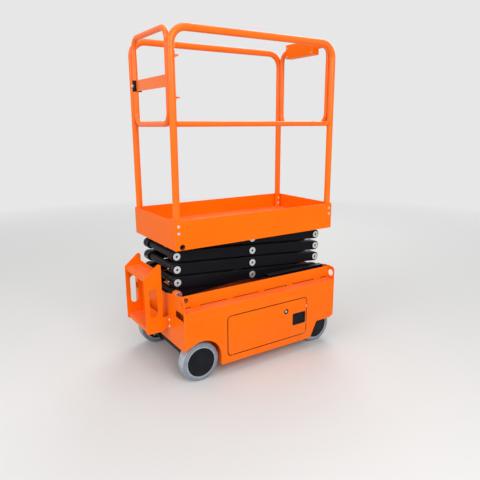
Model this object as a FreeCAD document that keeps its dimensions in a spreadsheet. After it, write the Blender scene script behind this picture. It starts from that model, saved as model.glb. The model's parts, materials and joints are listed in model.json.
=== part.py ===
import FreeCAD, Part
import math
import os

import Sketcher
from FreeCAD import Placement, Rotation, Vector

# A small self-propelled scissor lift, stowed as it parks. Millimetres and degrees.
# +X is forward (steered wheels), +Y is left, +Z is up, and the floor is z = 0.
# Pieces are laid out from the middle of the chassis, then moved along X by origin_shift,
# so that the origin is on the floor under the middle of the whole machine.

os.makedirs("parts", exist_ok=True)
doc = FreeCAD.newDocument("scissor_lift")

# name, value, what it measures
SIZES = (
    ("arm_length", 1066, "scissor arm, pin to pin"),
    ("end_room", 41, "outermost pins to the chassis's end faces"),
    ("chassis_width", 760, "width over the side panels"),
    ("deck_height", 456, "top of the chassis deck, which is the ledge beside the well"),
    ("sill_height", 77, "floor to the bottom plate"),
    ("sheet_steel", 3, "thickness of the folded sheets"),
    ("plate_steel", 4, "thickness of the welded plates"),
    ("wheel_radius", 120, "outside of the tyres"),
    ("tyre_width", 80, "width of the tyres"),
    ("rim_radius", 85, "seat of the tyres"),
    ("wall_taper", 6, "lean of the tyre's sidewalls from rim to tread"),
    ("hub_wall", 18, "wall of the hub round its stub axle"),
    ("hub_web_back", 8, "wheel's middle to the inner face of its web"),
    ("hub_rim_wall", 14, "wall of the rim at the web"),
    ("hub_lip_wall", 8, "wall of the rim at its inner edge"),
    ("hub_cap_thick", 14, "thickness of the closed outer face"),
    ("hub_chamfer", 3, "chamfer round that face"),
    ("rear_wheel_inset", 112.5, "chassis's rear face to the rear wheels' middle"),
    ("rear_wheel_side", 63, "panel's outside to the rear wheels' middle"),
    ("front_wheel_inset", 97.5, "chassis's front face to the front wheels' middle"),
    ("front_wheel_side", 105, "panel's outside to the front wheels' middle"),
    ("wheel_clear", 6, "rear tyre to the arch"),
    ("arch_corner_rise", 110, "axle to the bottom of the panel behind the wheel"),
    ("arch_rise", 89, "tyre's top to the corner above it, before that is rounded"),
    ("bay_behind_arch", 10, "arch's front edge to the side bay's rear bulkhead"),
    ("bay_depth", 173, "panel's outside to the web behind the side bay"),
    ("bulkhead_back", 33, "door opening's front edge to the front bulkhead"),
    ("bulkhead_clear", 3, "front bulkhead to the port's tray"),
    ("rear_plate_rise", 95, "axle to the bottom of the rear plate"),
    ("front_plate_rise", 22, "tyre's top to the bottom of the front plate"),
    ("crease_drop", 50, "deck to the folded line along the side panel"),
    ("crease_depth", 1, "depth of that line"),
    ("crease_width", 2, "width of that line"),
    ("cutout_length", 202.5, "chassis's front face to the foot of the front cut-out"),
    ("cutout_slope", 52, "length of the cut-out's sloping edge"),
    ("cutout_height", 186, "height of the cut-out's level edge"),
    ("nose_chamfer", 27.5, "length of the chamfer under the nose"),
    ("nose_height", 203, "bottom of the nose's front edge"),
    ("slot_margin", 14, "panel's outside to the slot in the rear plate"),
    ("slot_length", 104, "length of that slot"),
    ("slot_drop", 8, "deck to the top of that slot"),
    ("slot_tall", 44, "height of that slot"),
    ("ear_rise", 90, "deck to the top of the end plates' ears"),
    ("ear_round", 26, "corner radius of the ears"),
    ("ear_hole_side", 35, "panel's outside to the hole in an ear"),
    ("ear_hole_rise", 43, "deck to the middle of that hole"),
    ("ear_hole_radius", 22, "hole in an ear"),
    ("ear_width", 90, "panel's outside to where the end plates' top edge starts to fall"),
    ("dip_half", 120, "half width of that edge's level middle"),
    ("dip_depth", 34, "depth of that dip"),
    ("door_after_arch", 43, "arch's front edge to the door opening"),
    ("door_before_cutout", 37, "door opening to the foot of the front cut-out"),
    ("door_bottom_margin", 42, "bottom plate to the door opening"),
    ("door_top_margin", 74, "deck to the door opening"),
    ("door_corner", 28, "corner radius of the opening"),
    ("door_gap", 6.5, "gap round the door"),
    ("door_pivot_inset", 40, "opening's rear edge to the pivot"),
    ("door_pivot_depth", 9, "panel's outside to the pivot"),
    ("pivot_tube_radius", 7, "tube on the door"),
    ("pivot_tube_short", 30, "door's edge to the end of its tube"),
    ("pivot_pin_radius", 4, "pin of the door"),
    ("pivot_pin_past", 2, "lugs to the ends of that pin"),
    ("pivot_lug_thick", 7, "lugs above and below the opening, and their distance from it"),
    ("pivot_lug_half", 8, "half width of those lugs"),
    ("pin_play", 0.05, "radial clearance of a turning pin"),
    ("side_play", 0.3, "gap between faces that slide"),
    ("lock_from_front", 175, "opening's front edge to the lock"),
    ("lock_drop", 70, "opening's top edge to the lock"),
    ("lock_radius", 18, "outside of the lock"),
    ("lock_depth", 24, "length of the lock"),
    ("port_from_front", 121, "opening's front edge to the port's rear edge"),
    ("port_width", 109, "width of the port"),
    ("port_rise", 82, "opening's bottom edge to the port"),
    ("port_tall", 83, "height of the port"),
    ("port_corner", 9, "corner radius of the port"),
    ("port_depth", 14, "depth of the port's tray"),
    ("port_floor", 3, "thickness of the tray's floor, and its slats' set-back"),
    ("port_rim", 8, "rim of the port"),
    ("slat_half", 2, "half thickness of the port's slats"),
    ("ledge_width", 65, "panel's outside to the well's side walls, inside"),
    ("wall_height", 84, "deck to the top of the well's walls"),
    ("foot_slot_low", 6, "deck to the slots in the wall's foot"),
    ("foot_slot_tall", 8, "height of those slots"),
    ("foot_slot_gap", 41, "wall left between them"),
    ("end_slot_length", 52, "length of the short slots near the ends"),
    ("end_slot_inset", 20, "chassis's end faces to the short slots"),
    ("end_slot_gap", 59, "short slots to the row of long ones"),
    ("pin_hole_radius", 9, "hole in the wall beside the lowest pin"),
    ("kingpin_offset", 70, "front wheels' middle to the kingpins along y"),
    ("kingpin_radius", 12, "kingpins"),
    ("knuckle_radius", 22, "knuckle's sleeve on the kingpin"),
    ("knuckle_half", 50, "half height of that sleeve, with its play"),
    ("knuckle_flange", 30, "flange that the front wheel runs against"),
    ("yoke_thick", 12, "plates of the front axle that hold the kingpins"),
    ("stub_radius", 20, "stub axles"),
    ("stub_past", 22, "wheels' middle to the end of the stub axles"),
    ("axle_web_clear", 13, "rear tyre to the middle of the web that carries the axle"),
    ("axle_web_length", 75, "length of that web behind the axle"),
    ("motor_radius", 52, "wheel motors"),
    ("motor_length", 105, "length of a wheel motor"),
    ("motor_flange", 12, "thickness of its flange"),
    ("motor_rim", 16, "rim of that flange"),
    ("axle_beam_half", 29, "half depth of the beam between the motors"),
    ("front_beam_half", 25, "half depth of the front beam"),
    ("front_web_offset", 75, "kingpins to the webs that carry the front beam"),
    ("front_web_rise", 80, "axle to the bottom of those webs"),
    ("hanger_thick", 20, "hangers of the front beam"),
    ("hanger_lap", 90, "height of the hangers along the webs"),
    ("steer_arm_length", 90, "kingpin to the tie rod along x"),
    ("steer_arm_half", 9, "half width of the steering arms"),
    ("steer_arm_thick", 16, "thickness of the steering arms and the tie rod's eyes"),
    ("steer_arm_drop", 32, "axle to the bottom of the steering arms"),
    ("steer_pin_radius", 6, "tie rod's pins"),
    ("steer_pin_past", 4, "tie rod's eyes to the top of its pins"),
    ("steer_eye_radius", 14, "tie rod's eyes"),
    ("tie_rod_radius", 7, "tie rod"),
    ("arm_depth", 62, "height of the arms' tube"),
    ("stack_gap", 18, "gap between the arms of one side, stowed"),
    ("raised_angle", 51.3, "slope of the arms with the platform up"),
    ("arm_width", 30, "width of the arms' tube"),
    ("arm_spacing", 5, "gap between inner and outer arms"),
    ("arm_clear", 11, "outer arms to the tracks"),
    ("pin_rise", 56, "deck to the lowest pins"),
    ("pin_radius", 12, "scissor pins"),
    ("pin_head_radius", 22.5, "heads of the scissor pins"),
    ("pin_head_thick", 6, "thickness of those heads"),
    ("pin_recess", 2, "arm's face to the inner end of its pin"),
    ("dimple_radius", 7, "centre of a pin's head"),
    ("dimple_depth", 3, "depth of that centre"),
    ("lug_radius", 28, "lugs that hold the lowest and the highest pins"),
    ("bracket_inset", 2, "faces of the inner arms to those of the upper lugs"),
    ("cross_tube_radius", 22, "cross tubes between the inner arms"),
    ("roller_radius", 24, "track rollers"),
    ("roller_width", 28, "width of the rollers"),
    ("roller_side_play", 2, "roller to the track's open side"),
    ("spacer_wall", 4, "wall of the spacers beside the rollers"),
    ("track_play", 1, "roller to the track's flanges"),
    ("track_end_room", 11, "raised roller to the rear end of its track"),
    ("track_width", 40, "width of the tracks"),
    ("track_seat_inset", 8, "track's open side to the bar it is welded on"),
    ("track_wall_gap", 49, "tracks to the well's walls"),
    ("track_end_gap", 8, "chassis's front face to the end of its tracks"),
    ("track_skirt_gap", 34, "tracks to the platform's skirts, outside"),
    ("track_nose_gap", 20, "platform's front skirt to the end of its tracks"),
    ("cylinder_foot", 80, "lowest pin to the cylinder's foot, along the arm"),
    ("cylinder_head", 96, "front cross tube back to the cylinder's head, along the arm"),
    ("foot_pin_radius", 16, "cross rod in the cylinder's foot"),
    ("head_pin_radius", 14, "pin at the cylinder's head"),
    ("eye_radius", 31, "eyes of the cylinder"),
    ("eye_half_width", 24, "half width of the eyes"),
    ("cheek_gap", 2, "eye to the cheeks beside it"),
    ("cheek_thick", 12, "thickness of the cheeks"),
    ("cheek_half_depth", 22, "half height of the cheeks"),
    ("cheek_end_radius", 26, "rounded end of the cheeks"),
    ("head_pin_past", 6, "cheeks to the ends of the head's pin"),
    ("barrel_radius", 38, "outside of the barrel"),
    ("bore_radius", 30, "bore of the barrel"),
    ("barrel_floor", 45, "foot's pin to the bottom of the bore"),
    ("piston_gap", 5, "bottom of the bore to the piston"),
    ("piston_length", 15, "length of the piston"),
    ("rod_radius", 22, "piston rod"),
    ("rod_showing", 80, "barrel's mouth to the head's pin when stowed"),
    ("gland_length", 20, "gland at the mouth"),
    ("battery_tall", 230, "height of the battery pack"),
    ("battery_rear_gap", 104, "rear bulkhead to the battery pack"),
    ("battery_front_gap", 160, "front bulkhead to the battery pack"),
    ("pump_tall", 220, "height of the pump unit"),
    ("pump_rear_gap", 124, "rear bulkhead to the pump unit"),
    ("pump_front_gap", 200, "front bulkhead to the pump unit"),
    ("pack_web_gap", 4, "bay's web to the battery pack and pump unit"),
    ("pack_door_gap", 31, "panel's outside to the battery pack and pump unit"),
    ("platform_overhang_rear", 2, "platform beyond the chassis's rear face"),
    ("platform_overhang_front", 23, "platform beyond the chassis's front face"),
    ("floor_rise", 46, "highest pins to the platform's floor"),
    ("toe_board", 98, "floor to the top of the skirts"),
    ("skirt_drop", 71, "floor to the bottom of the skirts"),
    ("skirt_hole_radius", 12, "hole in the skirts beside the highest pin"),
    ("skirt_hole_drop", 7, "highest pin to the middle of that hole"),
    ("post_clear", 4, "post to the notch in the floor sheet"),
    ("notch_round", 6, "corner radius of those notches"),
    ("guard_height", 1110, "floor to the middle of the top rail"),
    ("mid_rail_drop", 488, "top rail to the mid rail"),
    ("post_radius", 20, "tube of the posts and top rails"),
    ("mid_rail_radius", 15, "tube of the mid rails"),
    ("loop_radius", 16, "tube of the front loop and the gate"),
    ("rail_bend", 90, "bend radius of the side frames"),
    ("loop_bend", 65, "bend radius of the loops"),
    ("loop_gap", 1, "front loop to the posts"),
    ("loop_tab_inset", 110, "loop's ends to the tabs that hold it"),
    ("loop_tab_half", 20, "half height of those tabs"),
    ("loop_tab_thick", 8, "thickness of those tabs"),
    ("gate_gap", 6, "gate to the posts"),
    ("gate_plate_rise", 193, "mid rail to the bottom of the gate's cross plate"),
    ("gate_plate_tall", 64, "height of that plate"),
    ("gate_hinge_low", 140, "mid rail to the lower hinge"),
    ("gate_hinge_high", 138, "top rail down to the upper hinge"),
    ("gate_pivot_forward", 30, "gate's middle to its pivot along x"),
    ("gate_pivot_side", 31, "post's middle to the pivot along y"),
    ("gate_pin_radius", 4, "hinge pins of the gate"),
    ("gate_pin_rise", 14, "hinge to the top of its pin"),
    ("gate_eye_radius", 9, "eyes of those hinges"),
    ("gate_eye_tall", 8, "height of those eyes"),
    ("latch_half", 14, "half width of the latch's housing"),
    ("latch_half_tall", 34, "half height of that housing"),
    ("latch_depth", 18, "depth of that housing"),
    ("latch_reach", 26, "housing to the tip of the bolt"),
    ("latch_bolt_half_tall", 7, "half height of the bolt"),
    ("latch_bolt_thick", 8, "thickness of the bolt"),
    ("box_depth", 52, "control box along x"),
    ("box_right", 165, "middle to the control box's right end"),
    ("box_left", 115, "middle to the control box's left end"),
    ("box_rise", 37, "top rail's middle to the top of the box"),
    ("box_tall", 90, "height of the box"),
    ("box_wall", 2, "sheet of the box"),
    ("panel_set_back", 8, "top of the box to its panel"),
    ("panel_thick", 6, "thickness of the panel"),
    ("control_pitch", 75, "distance between the panel's controls"),
    ("button_rise", 2, "top of the box to the buttons' faces"),
    ("stop_radius", 14, "emergency stop"),
    ("key_radius", 9, "key switch"),
    ("boot_rise", 4, "top of the box to the top of the joystick's boot"),
    ("boot_radius", 16, "that boot"),
    ("stick_rise", 16, "top of the box to the top of the joystick"),
    ("stick_radius", 6, "joystick"),
    ("ladder_half", 160, "half width over the ladder's side plates"),
    ("window_side", 40, "ladder's side plates to the window in its back"),
    ("window_low", 60, "lower step to that window"),
    ("window_high", 50, "that window to the upper step"),
    ("window_round", 20, "corner radius of that window"),
    ("back_low", 6, "bottom of the side plates to the back's edge"),
    ("back_high", 24, "upper step to the back's top edge"),
    ("ladder_reach", 143.5, "rear plate to the ladder's rear edge"),
    ("ladder_standoff", 36.5, "rear plate to the side plates above their feet"),
    ("upper_step_rise", 174, "deck to the upper step"),
    ("step_pitch", 312, "lower step to the upper step"),
    ("ladder_drop", 35, "lower step to the bottom of the ladder"),
    ("ladder_horn", 92, "upper step to the top of the side plates before rounding"),
    ("shoulder_rise", 2, "upper step to where the slanted edge starts"),
    ("foot_rise", 17, "bottom of the ladder to its feet"),
    ("foot_tall", 73, "height of the feet"),
    ("foot_flange", 36, "flange of the feet beside the side plates"),
    ("grip_half", 25, "half width of the slot in the side plates"),
    ("grip_margin", 66, "steps to that slot"),
    ("step_inset", 8, "ladder's rear edge to the steps' front lip"),
    ("step_lip", 26, "height of the steps' lip"),
)

sheet = doc.addObject("Spreadsheet::Sheet", "sizes")
for row, (name, number, note) in enumerate(SIZES, start=1):
    sheet.set(f"A{row}", name)
    sheet.set(f"B{row}", str(number))
    sheet.set(f"C{row}", note)
    sheet.setAlias(f"B{row}", name)
doc.recompute()


class Size:
    # A number together with the sheet formula that gives it.
    def __init__(self, value, formula):
        self.value = value
        self.formula = formula

    def join(self, other, sign, value):
        return Size(value, f"({self.formula} {sign} {other.formula})")

    def __add__(self, other):
        other = size_of(other)
        return self.join(other, "+", self.value + other.value)

    def __sub__(self, other):
        other = size_of(other)
        return self.join(other, "-", self.value - other.value)

    def __mul__(self, other):
        other = size_of(other)
        return self.join(other, "*", self.value * other.value)

    def __truediv__(self, other):
        other = size_of(other)
        return self.join(other, "/", self.value / other.value)

    def __radd__(self, other):
        return size_of(other) + self

    def __rsub__(self, other):
        return size_of(other) - self

    def __rmul__(self, other):
        return size_of(other) * self

    def __neg__(self):
        return size_of(-1) * self


def size_of(number):
    return number if isinstance(number, Size) else Size(float(number), f"({float(number)})")


def root(size):
    return Size(math.sqrt(size.value), f"sqrt({size.formula})")


def angle_of(rise, run):
    return Size(math.degrees(math.atan2(rise.value, run.value)), f"atan2({rise.formula}; {run.formula})")


def cosine(angle):
    return Size(math.cos(math.radians(angle.value)), f"cos({angle.formula})")


size = {name: Size(float(number), f"sizes.{name}") for name, number, note in SIZES}

# places worked out from the sizes, from the chassis's middle along x and from the floor up
skin = size["sheet_steel"]
plate = size["plate_steel"]
deck = size["deck_height"]
sill = size["sill_height"]
arm_length = size["arm_length"]
arm_round = size["arm_depth"] / 2
level_step = size["arm_depth"] + size["stack_gap"]
arm_run = root(arm_length * arm_length - level_step * level_step)
arm_tilt = angle_of(level_step, arm_run)
rear_pin_x = -arm_run / 2
front_pin_x = arm_run / 2
half_length = front_pin_x + size["end_room"]
half_width = size["chassis_width"] / 2
well_half = half_width - size["ledge_width"]
wall_top = deck + size["wall_height"]
axle_z = size["wheel_radius"]
rear_wheel_x = size["rear_wheel_inset"] - half_length
rear_wheel_y = half_width - size["rear_wheel_side"]
front_wheel_x = half_length - size["front_wheel_inset"]
front_wheel_y = half_width - size["front_wheel_side"]
kingpin_y = front_wheel_y - size["kingpin_offset"]
axle_web_y = rear_wheel_y - size["tyre_width"] / 2 - size["axle_web_clear"]
arch_round = size["wheel_radius"] + size["wheel_clear"]
arch_front = rear_wheel_x + arch_round
cutout_foot = half_length - size["cutout_length"]
door_rear = arch_front + size["door_after_arch"]
door_front = cutout_foot - size["door_before_cutout"]
door_low = sill + size["door_bottom_margin"]
door_high = deck - size["door_top_margin"]
door_pivot_x = door_rear + size["door_pivot_inset"]
lock_x = door_front - size["lock_from_front"]
lock_z = door_high - size["lock_drop"]
port_rear = door_front - size["port_from_front"]
port_low = door_low + size["port_rise"]
port_x = (port_rear, port_rear + size["port_width"])
port_z = (port_low, port_low + size["port_tall"])
bay_rear = arch_front + size["bay_behind_arch"]
bay_front = door_front - size["bulkhead_back"]
bay_web_y = half_width - size["bay_depth"]
track_outer = well_half - size["track_wall_gap"]
track_inner = track_outer - size["track_width"]
raised_roller_x = rear_pin_x + arm_length * cosine(size["raised_angle"])
track_rear = raised_roller_x - size["roller_radius"] - size["track_end_room"]
outer_face = track_inner - size["arm_clear"]
outer_plane = (outer_face - size["arm_width"], outer_face)
inner_face = outer_plane[0] - size["arm_spacing"]
inner_plane = (inner_face - size["arm_width"], inner_face)
platform_rear = -half_length - size["platform_overhang_rear"]
platform_front = half_length + size["platform_overhang_front"]
platform_half = track_outer + size["track_skirt_gap"]
post_inset = skin + size["post_radius"]
rear_post_x = platform_rear + post_inset
front_post_x = platform_front - post_inset
post_y = platform_half - post_inset
ladder_rear = -half_length - size["ladder_reach"]
origin_shift = (-ladder_rear - platform_front) / 2
LEVELS = 4


def level_height(level):
    # level 0 is the platform's pin, level 4 the chassis's
    return deck + size["pin_rise"] + level_step * (LEVELS - level)


floor_top = level_height(0) + size["floor_rise"]
pan_top = floor_top - skin
pan_low = pan_top - skin
skirt_top = floor_top + size["toe_board"]
skirt_low = floor_top - size["skirt_drop"]
rail_z = floor_top + size["guard_height"]
mid_rail_z = rail_z - size["mid_rail_drop"]
upper_step = deck + size["upper_step_rise"]
lower_step = upper_step - size["step_pitch"]


def bind(thing, prop, number):
    number = size_of(number)
    thing.setExpression(prop, number.formula)


def place(thing, x=0, y=0, z=0):
    for axis, number in (("x", x), ("y", y), ("z", z)):
        bind(thing, f"Placement.Base.{axis}", number)
    return thing


def box(x, y, z):
    # each span is (low, high)
    solid = doc.addObject("Part::Box", "plate")
    for prop, (low, high) in (("Length", x), ("Width", y), ("Height", z)):
        bind(solid, prop, size_of(high) - low)
    return place(solid, x[0], y[0], z[0])


AXIS_TURN = {
    "x": Rotation(Vector(0, 1, 0), 90),
    "y": Rotation(Vector(1, 0, 0), -90),
    "z": Rotation(),
}


def rod(axis, centre, low, high, radius):
    # a cylinder along one axis; centre holds the other two coordinates in X, Y, Z order
    solid = doc.addObject("Part::Cylinder", "rod")
    bind(solid, "Radius", radius)
    bind(solid, "Height", size_of(high) - low)
    solid.Placement = Placement(Vector(), AXIS_TURN[axis])
    first, second = centre
    spots = {"x": (low, first, second), "y": (first, low, second), "z": (first, second, low)}
    return place(solid, *spots[axis])


def fuse(solids):
    joined = doc.addObject("Part::MultiFuse", "joined")
    joined.Shapes = solids
    joined.Refine = True
    return joined


def cut(base, tools):
    result = doc.addObject("Part::Cut", "cut")
    result.Base = base
    result.Tool = tools[0] if len(tools) == 1 else fuse(tools)
    result.Refine = True
    return result


def group(solids):
    # separate solids of one node
    held = doc.addObject("Part::Compound", "group")
    held.Links = solids
    return held


def span(side, inner, outer):
    # the y span between two distances from the middle, on the left (1) or right (-1)
    return (inner, outer) if side > 0 else (-outer, -inner)


def direction(start, end):
    step = (end[0] - start[0], end[1] - start[1])
    length = math.hypot(*step)
    return (step[0] / length, step[1] / length)


def rounding(before, corner, after, radius):
    # tangent points and arc of a rounded corner
    inward = direction(corner, before)
    onward = direction(corner, after)
    half = math.acos(max(-1, min(1, inward[0] * onward[0] + inward[1] * onward[1]))) / 2
    reach = radius / math.tan(half)
    middle = direction((0, 0), (inward[0] + onward[0], inward[1] + onward[1]))
    centre = [corner[k] + middle[k] * radius / math.sin(half) for k in (0, 1)]
    entry = [corner[k] + inward[k] * reach for k in (0, 1)]
    leave = [corner[k] + onward[k] * reach for k in (0, 1)]
    turns_left = onward[0] * -inward[1] - onward[1] * -inward[0] < 0
    return entry, leave, centre, turns_left


def fix_point(sketch, geometry, spot, u, v):
    # hold a point at its distances from the sketch's origin
    for kind, number, axis in (("DistanceX", u, -2), ("DistanceY", v, -1)):
        number = size_of(number)
        if abs(number.value) < 1e-9:
            sketch.addConstraint(Sketcher.Constraint("PointOnObject", geometry, spot, axis))
            continue
        index = sketch.addConstraint(Sketcher.Constraint(kind, -1, 1, geometry, spot, number.value))
        sketch.setExpression(f"Constraints[{index}]", number.formula)


def draw(sketch, corners, closed=True):
    # straight edges through the corners (u, v, radius), each rounded by its radius
    spots = [(size_of(u).value, size_of(v).value) for u, v, radius in corners]
    count = len(corners)
    ends = []
    for index, (u, v, radius) in enumerate(corners):
        spot = spots[index]
        inside = closed or 0 < index < count - 1
        if inside and size_of(radius).value > 0:
            before, after = spots[index - 1], spots[(index + 1) % count]
            ends.append(rounding(before, spot, after, size_of(radius).value))
        else:
            ends.append((spot, spot, None, None))
    edges = count if closed else count - 1
    lines = []
    for index in range(edges):
        start = ends[index][1]
        end = ends[(index + 1) % count][0]
        segment = Part.LineSegment(Vector(start[0], start[1], 0), Vector(end[0], end[1], 0))
        lines.append(sketch.addGeometry(segment, False))
    for index, (u, v, radius) in enumerate(corners):
        point = sketch.addGeometry(Part.Point(Vector(spots[index][0], spots[index][1], 0)), True)
        fix_point(sketch, point, 1, u, v)
        line_in = lines[index - 1] if closed or index > 0 else None
        line_out = lines[index] if index < edges else None
        entry, leave, centre, turns_left = ends[index]
        if centre is None:
            if line_in is not None:
                sketch.addConstraint(Sketcher.Constraint("Coincident", line_in, 2, point, 1))
            if line_out is not None:
                sketch.addConstraint(Sketcher.Constraint("Coincident", line_out, 1, point, 1))
            continue
        first, last = (entry, leave) if turns_left else (leave, entry)
        low = math.atan2(first[1] - centre[1], first[0] - centre[0])
        high = math.atan2(last[1] - centre[1], last[0] - centre[0])
        if high < low:
            high += 2 * math.pi
        circle = Part.Circle(Vector(centre[0], centre[1], 0), Vector(0, 0, 1), size_of(radius).value)
        arc = sketch.addGeometry(Part.ArcOfCircle(circle, low, high), False)
        sketch.addConstraint(Sketcher.Constraint("PointOnObject", point, 1, line_in))
        sketch.addConstraint(Sketcher.Constraint("PointOnObject", point, 1, line_out))
        sketch.addConstraint(Sketcher.Constraint("Tangent", line_in, 2, arc, 1 if turns_left else 2))
        sketch.addConstraint(Sketcher.Constraint("Tangent", line_out, 1, arc, 2 if turns_left else 1))
        index_radius = sketch.addConstraint(Sketcher.Constraint("Radius", arc, size_of(radius).value))
        sketch.setExpression(f"Constraints[{index_radius}]", size_of(radius).formula)


def draw_circle(sketch, u, v, radius):
    centre = Vector(size_of(u).value, size_of(v).value, 0)
    circle = Part.Circle(centre, Vector(0, 0, 1), size_of(radius).value)
    ring = sketch.addGeometry(circle, False)
    fix_point(sketch, ring, 3, u, v)
    index = sketch.addConstraint(Sketcher.Constraint("Radius", ring, size_of(radius).value))
    sketch.setExpression(f"Constraints[{index}]", size_of(radius).formula)


def new_sketch(body, plane):
    # plane is XY, XZ or YZ; an XZ sketch faces -Y, a YZ sketch faces +X
    sketch = body.newObject("Sketcher::SketchObject", "profile")
    for feature in body.Origin.OriginFeatures:
        if feature.Role == f"{plane}_Plane":
            sketch.AttachmentSupport = [(feature, "")]
    sketch.MapMode = "FlatFace"
    return sketch


def new_body(name):
    return doc.addObject("PartDesign::Body", name)


def rectangle(low_u, high_u, low_v, high_v, radius=0):
    corners = ((low_u, low_v), (high_u, low_v), (high_u, high_v), (low_u, high_v))
    return [(u, v, radius) for u, v in corners]


def pad(name, plane, corners, thickness, holes=(), circles=()):
    # an outline of the given thickness, with holes cut right through
    body = new_body(name)
    sketch = new_sketch(body, plane)
    draw(sketch, corners)
    for hole in holes:
        draw(sketch, hole)
    for u, v, radius in circles:
        draw_circle(sketch, u, v, radius)
    feature = body.newObject("PartDesign::Pad", "pad")
    feature.Profile = sketch
    bind(feature, "Length", thickness)
    body.Tip = feature
    return body


def turned(name, corners, side):
    # a profile of (distance outwards, radius) turned about the wheel's axle line
    body = new_body(name)
    sketch = new_sketch(body, "YZ")
    draw(sketch, [(size_of(u) * side, v, radius) for u, v, radius in corners])
    feature = body.newObject("PartDesign::Revolution", "turn")
    feature.Profile = sketch
    feature.ReferenceAxis = (sketch, ["H_Axis"])
    feature.Angle = 360
    body.Tip = feature
    return body


def bent_tube(name, path_plane, corners, start_plane, radius, mirrored=None):
    # a round tube along an open path; its section is drawn where the path starts
    body = new_body(name)
    path = new_sketch(body, path_plane)
    draw(path, corners, closed=False)
    section = new_sketch(body, start_plane)
    u, v, unused = corners[0]
    if start_plane == "XY":
        draw_circle(section, u, 0, radius)
        section.setExpression("AttachmentOffset.Base.z", size_of(v).formula)
    else:
        draw_circle(section, 0, v, radius)
    pipe = body.newObject("PartDesign::AdditivePipe", "pipe")
    pipe.Profile = section
    pipe.Spine = path
    body.Tip = pipe
    if mirrored:
        doc.recompute()
        copy = body.newObject("PartDesign::Mirrored", "other_half")
        copy.Originals = [pipe]
        for feature in body.Origin.OriginFeatures:
            if feature.Role == f"{mirrored}_Plane":
                copy.MirrorPlane = (feature, [""])
        body.Tip = copy
    return body


nodes = {}


def node(name, thing, x=0, y=0, z=0):
    thing.Label = name
    place(thing, size_of(x) + origin_shift, y, z)
    nodes[name] = thing


SIDES = (("right", -1), ("left", 1))


def make_chassis_base():
    # the bottom plate of the side bays, their webs, and a bulkhead at each end
    inside = half_width - skin
    bay = (bay_rear, bay_front)
    under_deck = deck - plate
    low_web = sill + plate
    # the front bulkhead stops short of the port in the closed door
    bulkhead_half = half_width - size["port_depth"] - size["bulkhead_clear"]
    parts = [
        box(bay, (-inside, inside), (sill, low_web)),
        box((bay_rear - plate, bay_rear), (-inside, inside), (sill, under_deck)),
        box((bay_front, bay_front + plate), (-bulkhead_half, bulkhead_half), (sill, under_deck)),
    ]
    for name, side in SIDES:
        bay_web = span(side, bay_web_y - plate / 2, bay_web_y + plate / 2)
        parts.append(box(bay, bay_web, (low_web, under_deck)))
    node("chassis_base", fuse(parts))


def make_axle_webs():
    # behind and ahead of the bays, each pair of webs carries an axle
    under_deck = deck - plate
    webs = []
    for name, side in SIDES:
        rear_y = span(side, axle_web_y - plate / 2, axle_web_y + plate / 2)
        rear_web = box((rear_wheel_x - size["axle_web_length"], bay_rear - plate), rear_y, (sill, under_deck))
        bore = span(side, axle_web_y - plate, axle_web_y + plate)
        bore_radius = size["stub_radius"] + size["pin_play"]
        webs.append(cut(rear_web, [rod("y", (rear_wheel_x, axle_z), *bore, bore_radius)]))
        inner = kingpin_y - size["front_web_offset"]
        front_y = span(side, inner, inner + plate)
        web_low = axle_z + size["front_web_rise"]
        webs.append(box((bay_front + plate, half_length - plate), front_y, (web_low, under_deck)))
    node("axle_webs", group(webs))


def make_deck():
    # the deck with the two lugs that hold the lowest pins
    inside = half_width - skin
    parts = [box((plate - half_length, half_length - plate), (-inside, inside), (deck - plate, deck))]
    parts += [lug_arm(side, outer_plane, deck, level_height(LEVELS)) for name, side in SIDES]
    holes = [pin_bore(side, outer_plane, level_height(LEVELS)) for name, side in SIDES]
    node("deck_plate", cut(fuse(parts), holes))


def lug_arm(side, plane, seat, pin_z):
    # an upright lug with a rounded end, from its seat to the pin at the rear end of the arms
    half = size["lug_radius"]
    lug = span(side, *plane)
    low, high = (seat, pin_z) if seat.value < pin_z.value else (pin_z, seat)
    return fuse([
        box((rear_pin_x - half, rear_pin_x + half), lug, (low, high)),
        rod("y", (rear_pin_x, pin_z), *lug, half),
    ])


def pin_bore(side, plane, pin_z):
    through = span(side, plane[0] - 1, plane[1] + 1)
    return rod("y", (rear_pin_x, pin_z), *through, size["pin_radius"] + size["pin_play"])


def make_end_plates():
    # each end plate rises over the deck to two ears, with a dip in its top edge between them
    inside = half_width - skin
    ear_top = deck + size["ear_rise"]
    dip = ear_top - size["dip_depth"]
    outer, inner = half_width - size["ear_width"], size["dip_half"]
    slot_outer = half_width - size["slot_margin"]
    slot_high = deck - size["slot_drop"]
    hole_y = half_width - size["ear_hole_side"]
    hole_z = deck + size["ear_hole_rise"]
    ear_holes = [(size_of(side) * hole_y, hole_z, size["ear_hole_radius"]) for name, side in SIDES]
    slots = []
    for name, side in SIDES:
        slot = span(side, slot_outer - size["slot_length"], slot_outer)
        slots.append(rectangle(*slot, slot_high - size["slot_tall"], slot_high, plate))
    # y, z, corner radius
    top_edge = [
        (half_width, deck, 0), (half_width, ear_top, size["ear_round"]), (outer, ear_top, 0), (inner, dip, 0),
    ]
    # name, bottom edge, rear face, holes
    plates = (
        ("rear_plate", axle_z + size["rear_plate_rise"], -half_length, slots),
        ("front_plate", axle_z + size["wheel_radius"] + size["front_plate_rise"], half_length - plate, []),
    )
    for name, low, x, holes in plates:
        left = [(inside, low, skin), (inside, deck, 0)] + top_edge
        right = [(-y, z, radius) for y, z, radius in reversed(left)]
        node(name, pad(name, "YZ", left + right, plate, holes=holes, circles=ear_holes), x, 0, 0)


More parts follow.
